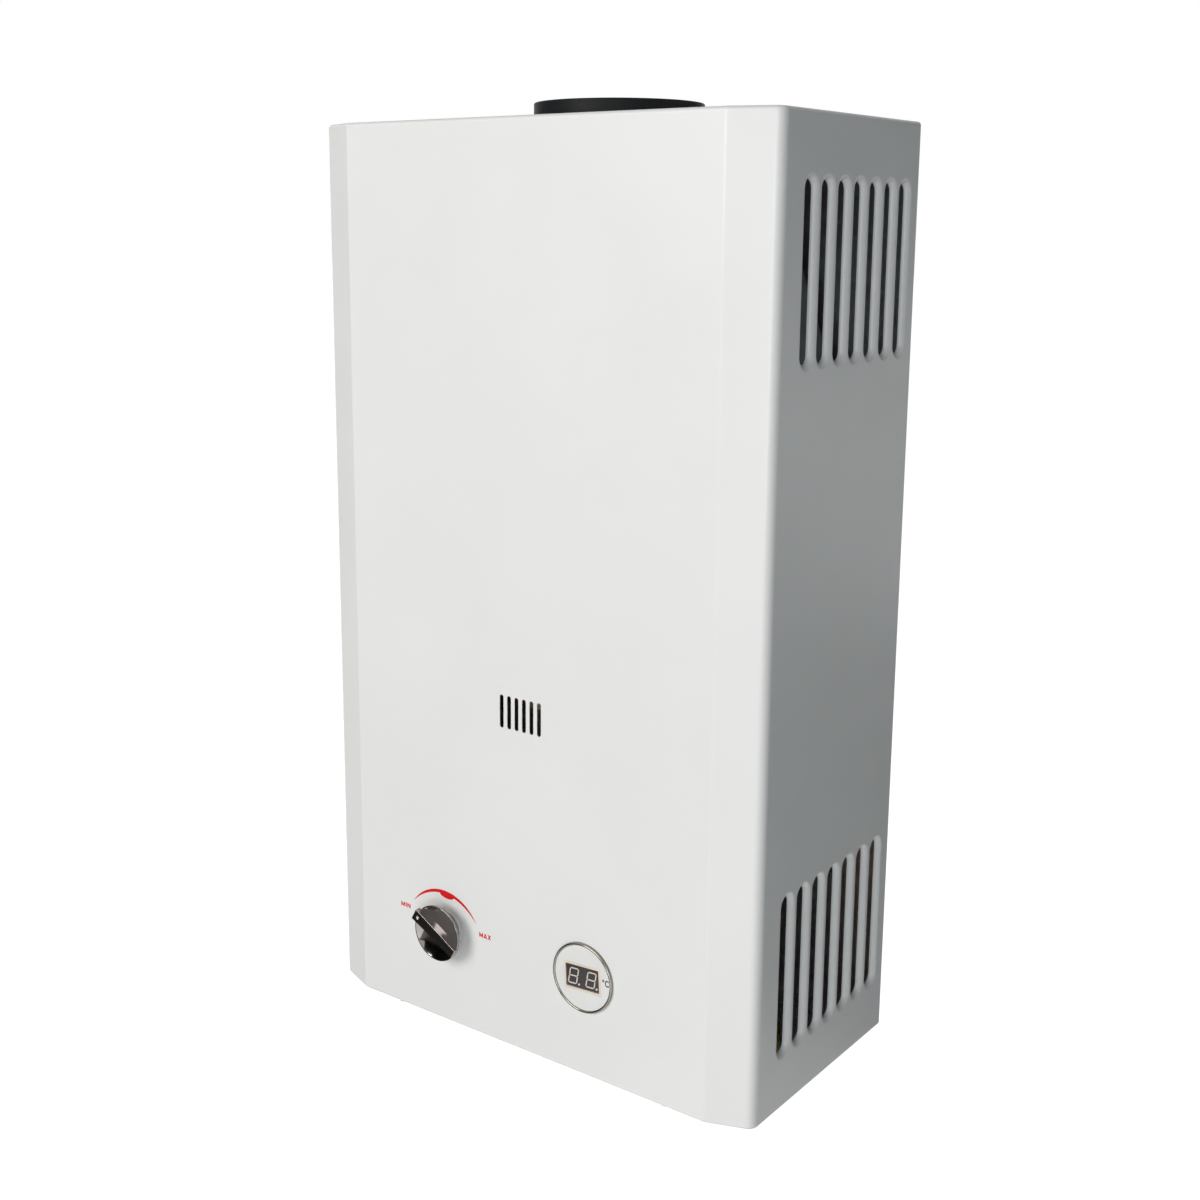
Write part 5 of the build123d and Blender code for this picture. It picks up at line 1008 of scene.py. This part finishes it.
def aimed(place, target):
    """A matrix at a place whose -Z looks at a target, with +Y upwards."""
    back = np.array(place, float) - np.array(target, float)
    back /= np.linalg.norm(back)
    right = np.cross((0, 0, 1), back)
    right /= np.linalg.norm(right)
    upward = np.cross(back, right)
    columns = np.column_stack((right, upward, back, place))
    return Matrix(np.vstack((columns, (0, 0, 0, 1))).tolist())


LAMP_TARGET = (0, -0.17, 0)
for name, place, size, power, colour in (
    ("key_lamp", (-0.75, -3.6, 1.3), 2.2, 94.0, (1.0, 0.972, 0.95)),
    ("fill_lamp", (1.6, -2.95, 0.1), 1.2, 27.0, (0.92, 0.975, 1.0)),
):
    lamp_data = bpy.data.lights.new(name, "AREA")
    lamp_data.shape = "SQUARE"
    lamp_data.size = size
    lamp_data.energy = power
    lamp_data.color = colour
    lamp = bpy.data.objects.new(name, lamp_data)
    bpy.context.scene.collection.objects.link(lamp)
    lamp.matrix_world = aimed(place, LAMP_TARGET)

# Cards seen only in mirrors: their colour is painted reflection on the chrome knob and ring, black at the far
# left and lightening to a warm grey towards the heater.
painted_reflection_card, tree, shader, coords = start_finish("painted_reflection_card")
apart = tree.nodes.new("ShaderNodeSeparateXYZ")
reflection_fade = tree.nodes.new("ShaderNodeMapRange")
reflection_fade.inputs["From Min"].default_value = -1.1
reflection_fade.inputs["From Max"].default_value = -0.28
tree.links.new(coords, apart.inputs["Vector"])
tree.links.new(apart.outputs["X"], reflection_fade.inputs["Value"])
lay_colour(tree, shader, reflection_fade.outputs["Result"], (0.006, 0.006, 0.006), (0.30, 0.26, 0.23))
shader.inputs["Roughness"].default_value = 0.9
# Grey cards behind and to the right, also seen only in mirrors: their grey is painted reflection on the
# chrome.
painted_reflection_grey = worked_finish("painted_reflection_grey", (0.30, 0.31, 0.32), (0.40, 0.41, 0.42), 8.0, 0.85, 0.95)
front_card = (
    (-3.9, -4.9, -0.79),
    (-1.1, -4.9, -0.79),
    (-1.1, -4.9, 0.1),
    (-2.2, -4.9, 1.2),
    (-3.9, -4.9, 1.2),
)
# Each card's colour is painted reflection; the cards take no part in camera, diffuse or shadow rays.
for name, reflection_paint, corners in (
    ("floor_card", painted_reflection_card, ((-0.38, -0.1, -0.79), (-0.38, -5, -0.79), (-4, -5, -0.79), (-4, -0.1, -0.79))),
    ("left_card", painted_reflection_card, ((-3.9, 0.6, -0.79), (-3.9, -5, -0.79), (-3.9, -5, 1.4), (-3.9, 0.6, 1.4))),
    ("front_card", painted_reflection_card, front_card),
    ("back_card", painted_reflection_grey, ((0.2, 0.75, -0.79), (4, 0.75, -0.79), (4, 3.0, -0.79), (0.2, 3.0, -0.79))),
    ("rear_card", painted_reflection_grey, ((0.5, 5, 0.0), (5, 5, 0.0), (5, 5, 2), (0.5, 5, 2))),
):
    card_mesh = bpy.data.meshes.new(name)
    card_mesh.from_pydata(corners, [], [tuple(range(len(corners)))])
    card_mesh.materials.append(reflection_paint)
    card = bpy.data.objects.new(name, card_mesh)
    bpy.context.scene.collection.objects.link(card)
    card.visible_camera = card.visible_diffuse = card.visible_shadow = False

CAMERA_PLACE = (0.601767, -0.906786, 0.233215)
CAMERA_AZIMUTH = 0.645499
CAMERA_ELEVATION = 0.199203
CAMERA_ROLL = 0.006684
camera_data = bpy.data.cameras.new("camera")
camera_data.sensor_width = 36.0
camera_data.lens = 47.5348
camera_data.shift_x = 0.0125
camera_data.shift_y = -0.046667
camera = bpy.data.objects.new("camera", camera_data)
bpy.context.scene.collection.objects.link(camera)
back = np.array(
    (
        math.sin(CAMERA_AZIMUTH) * math.cos(CAMERA_ELEVATION),
        -math.cos(CAMERA_AZIMUTH) * math.cos(CAMERA_ELEVATION),
        math.sin(CAMERA_ELEVATION),
    )
)
level = np.array((math.cos(CAMERA_AZIMUTH), math.sin(CAMERA_AZIMUTH), 0.0))
upward = np.cross(back, level)
cos_roll, sin_roll = math.cos(CAMERA_ROLL), math.sin(CAMERA_ROLL)
right, up = cos_roll * level + sin_roll * upward, cos_roll * upward - sin_roll * level
columns = np.column_stack((right, up, back, CAMERA_PLACE))
camera.matrix_world = Matrix(np.vstack((columns, (0, 0, 0, 1))).tolist())
bpy.context.scene.camera = camera

bpy.context.scene.view_settings.view_transform = "Standard"
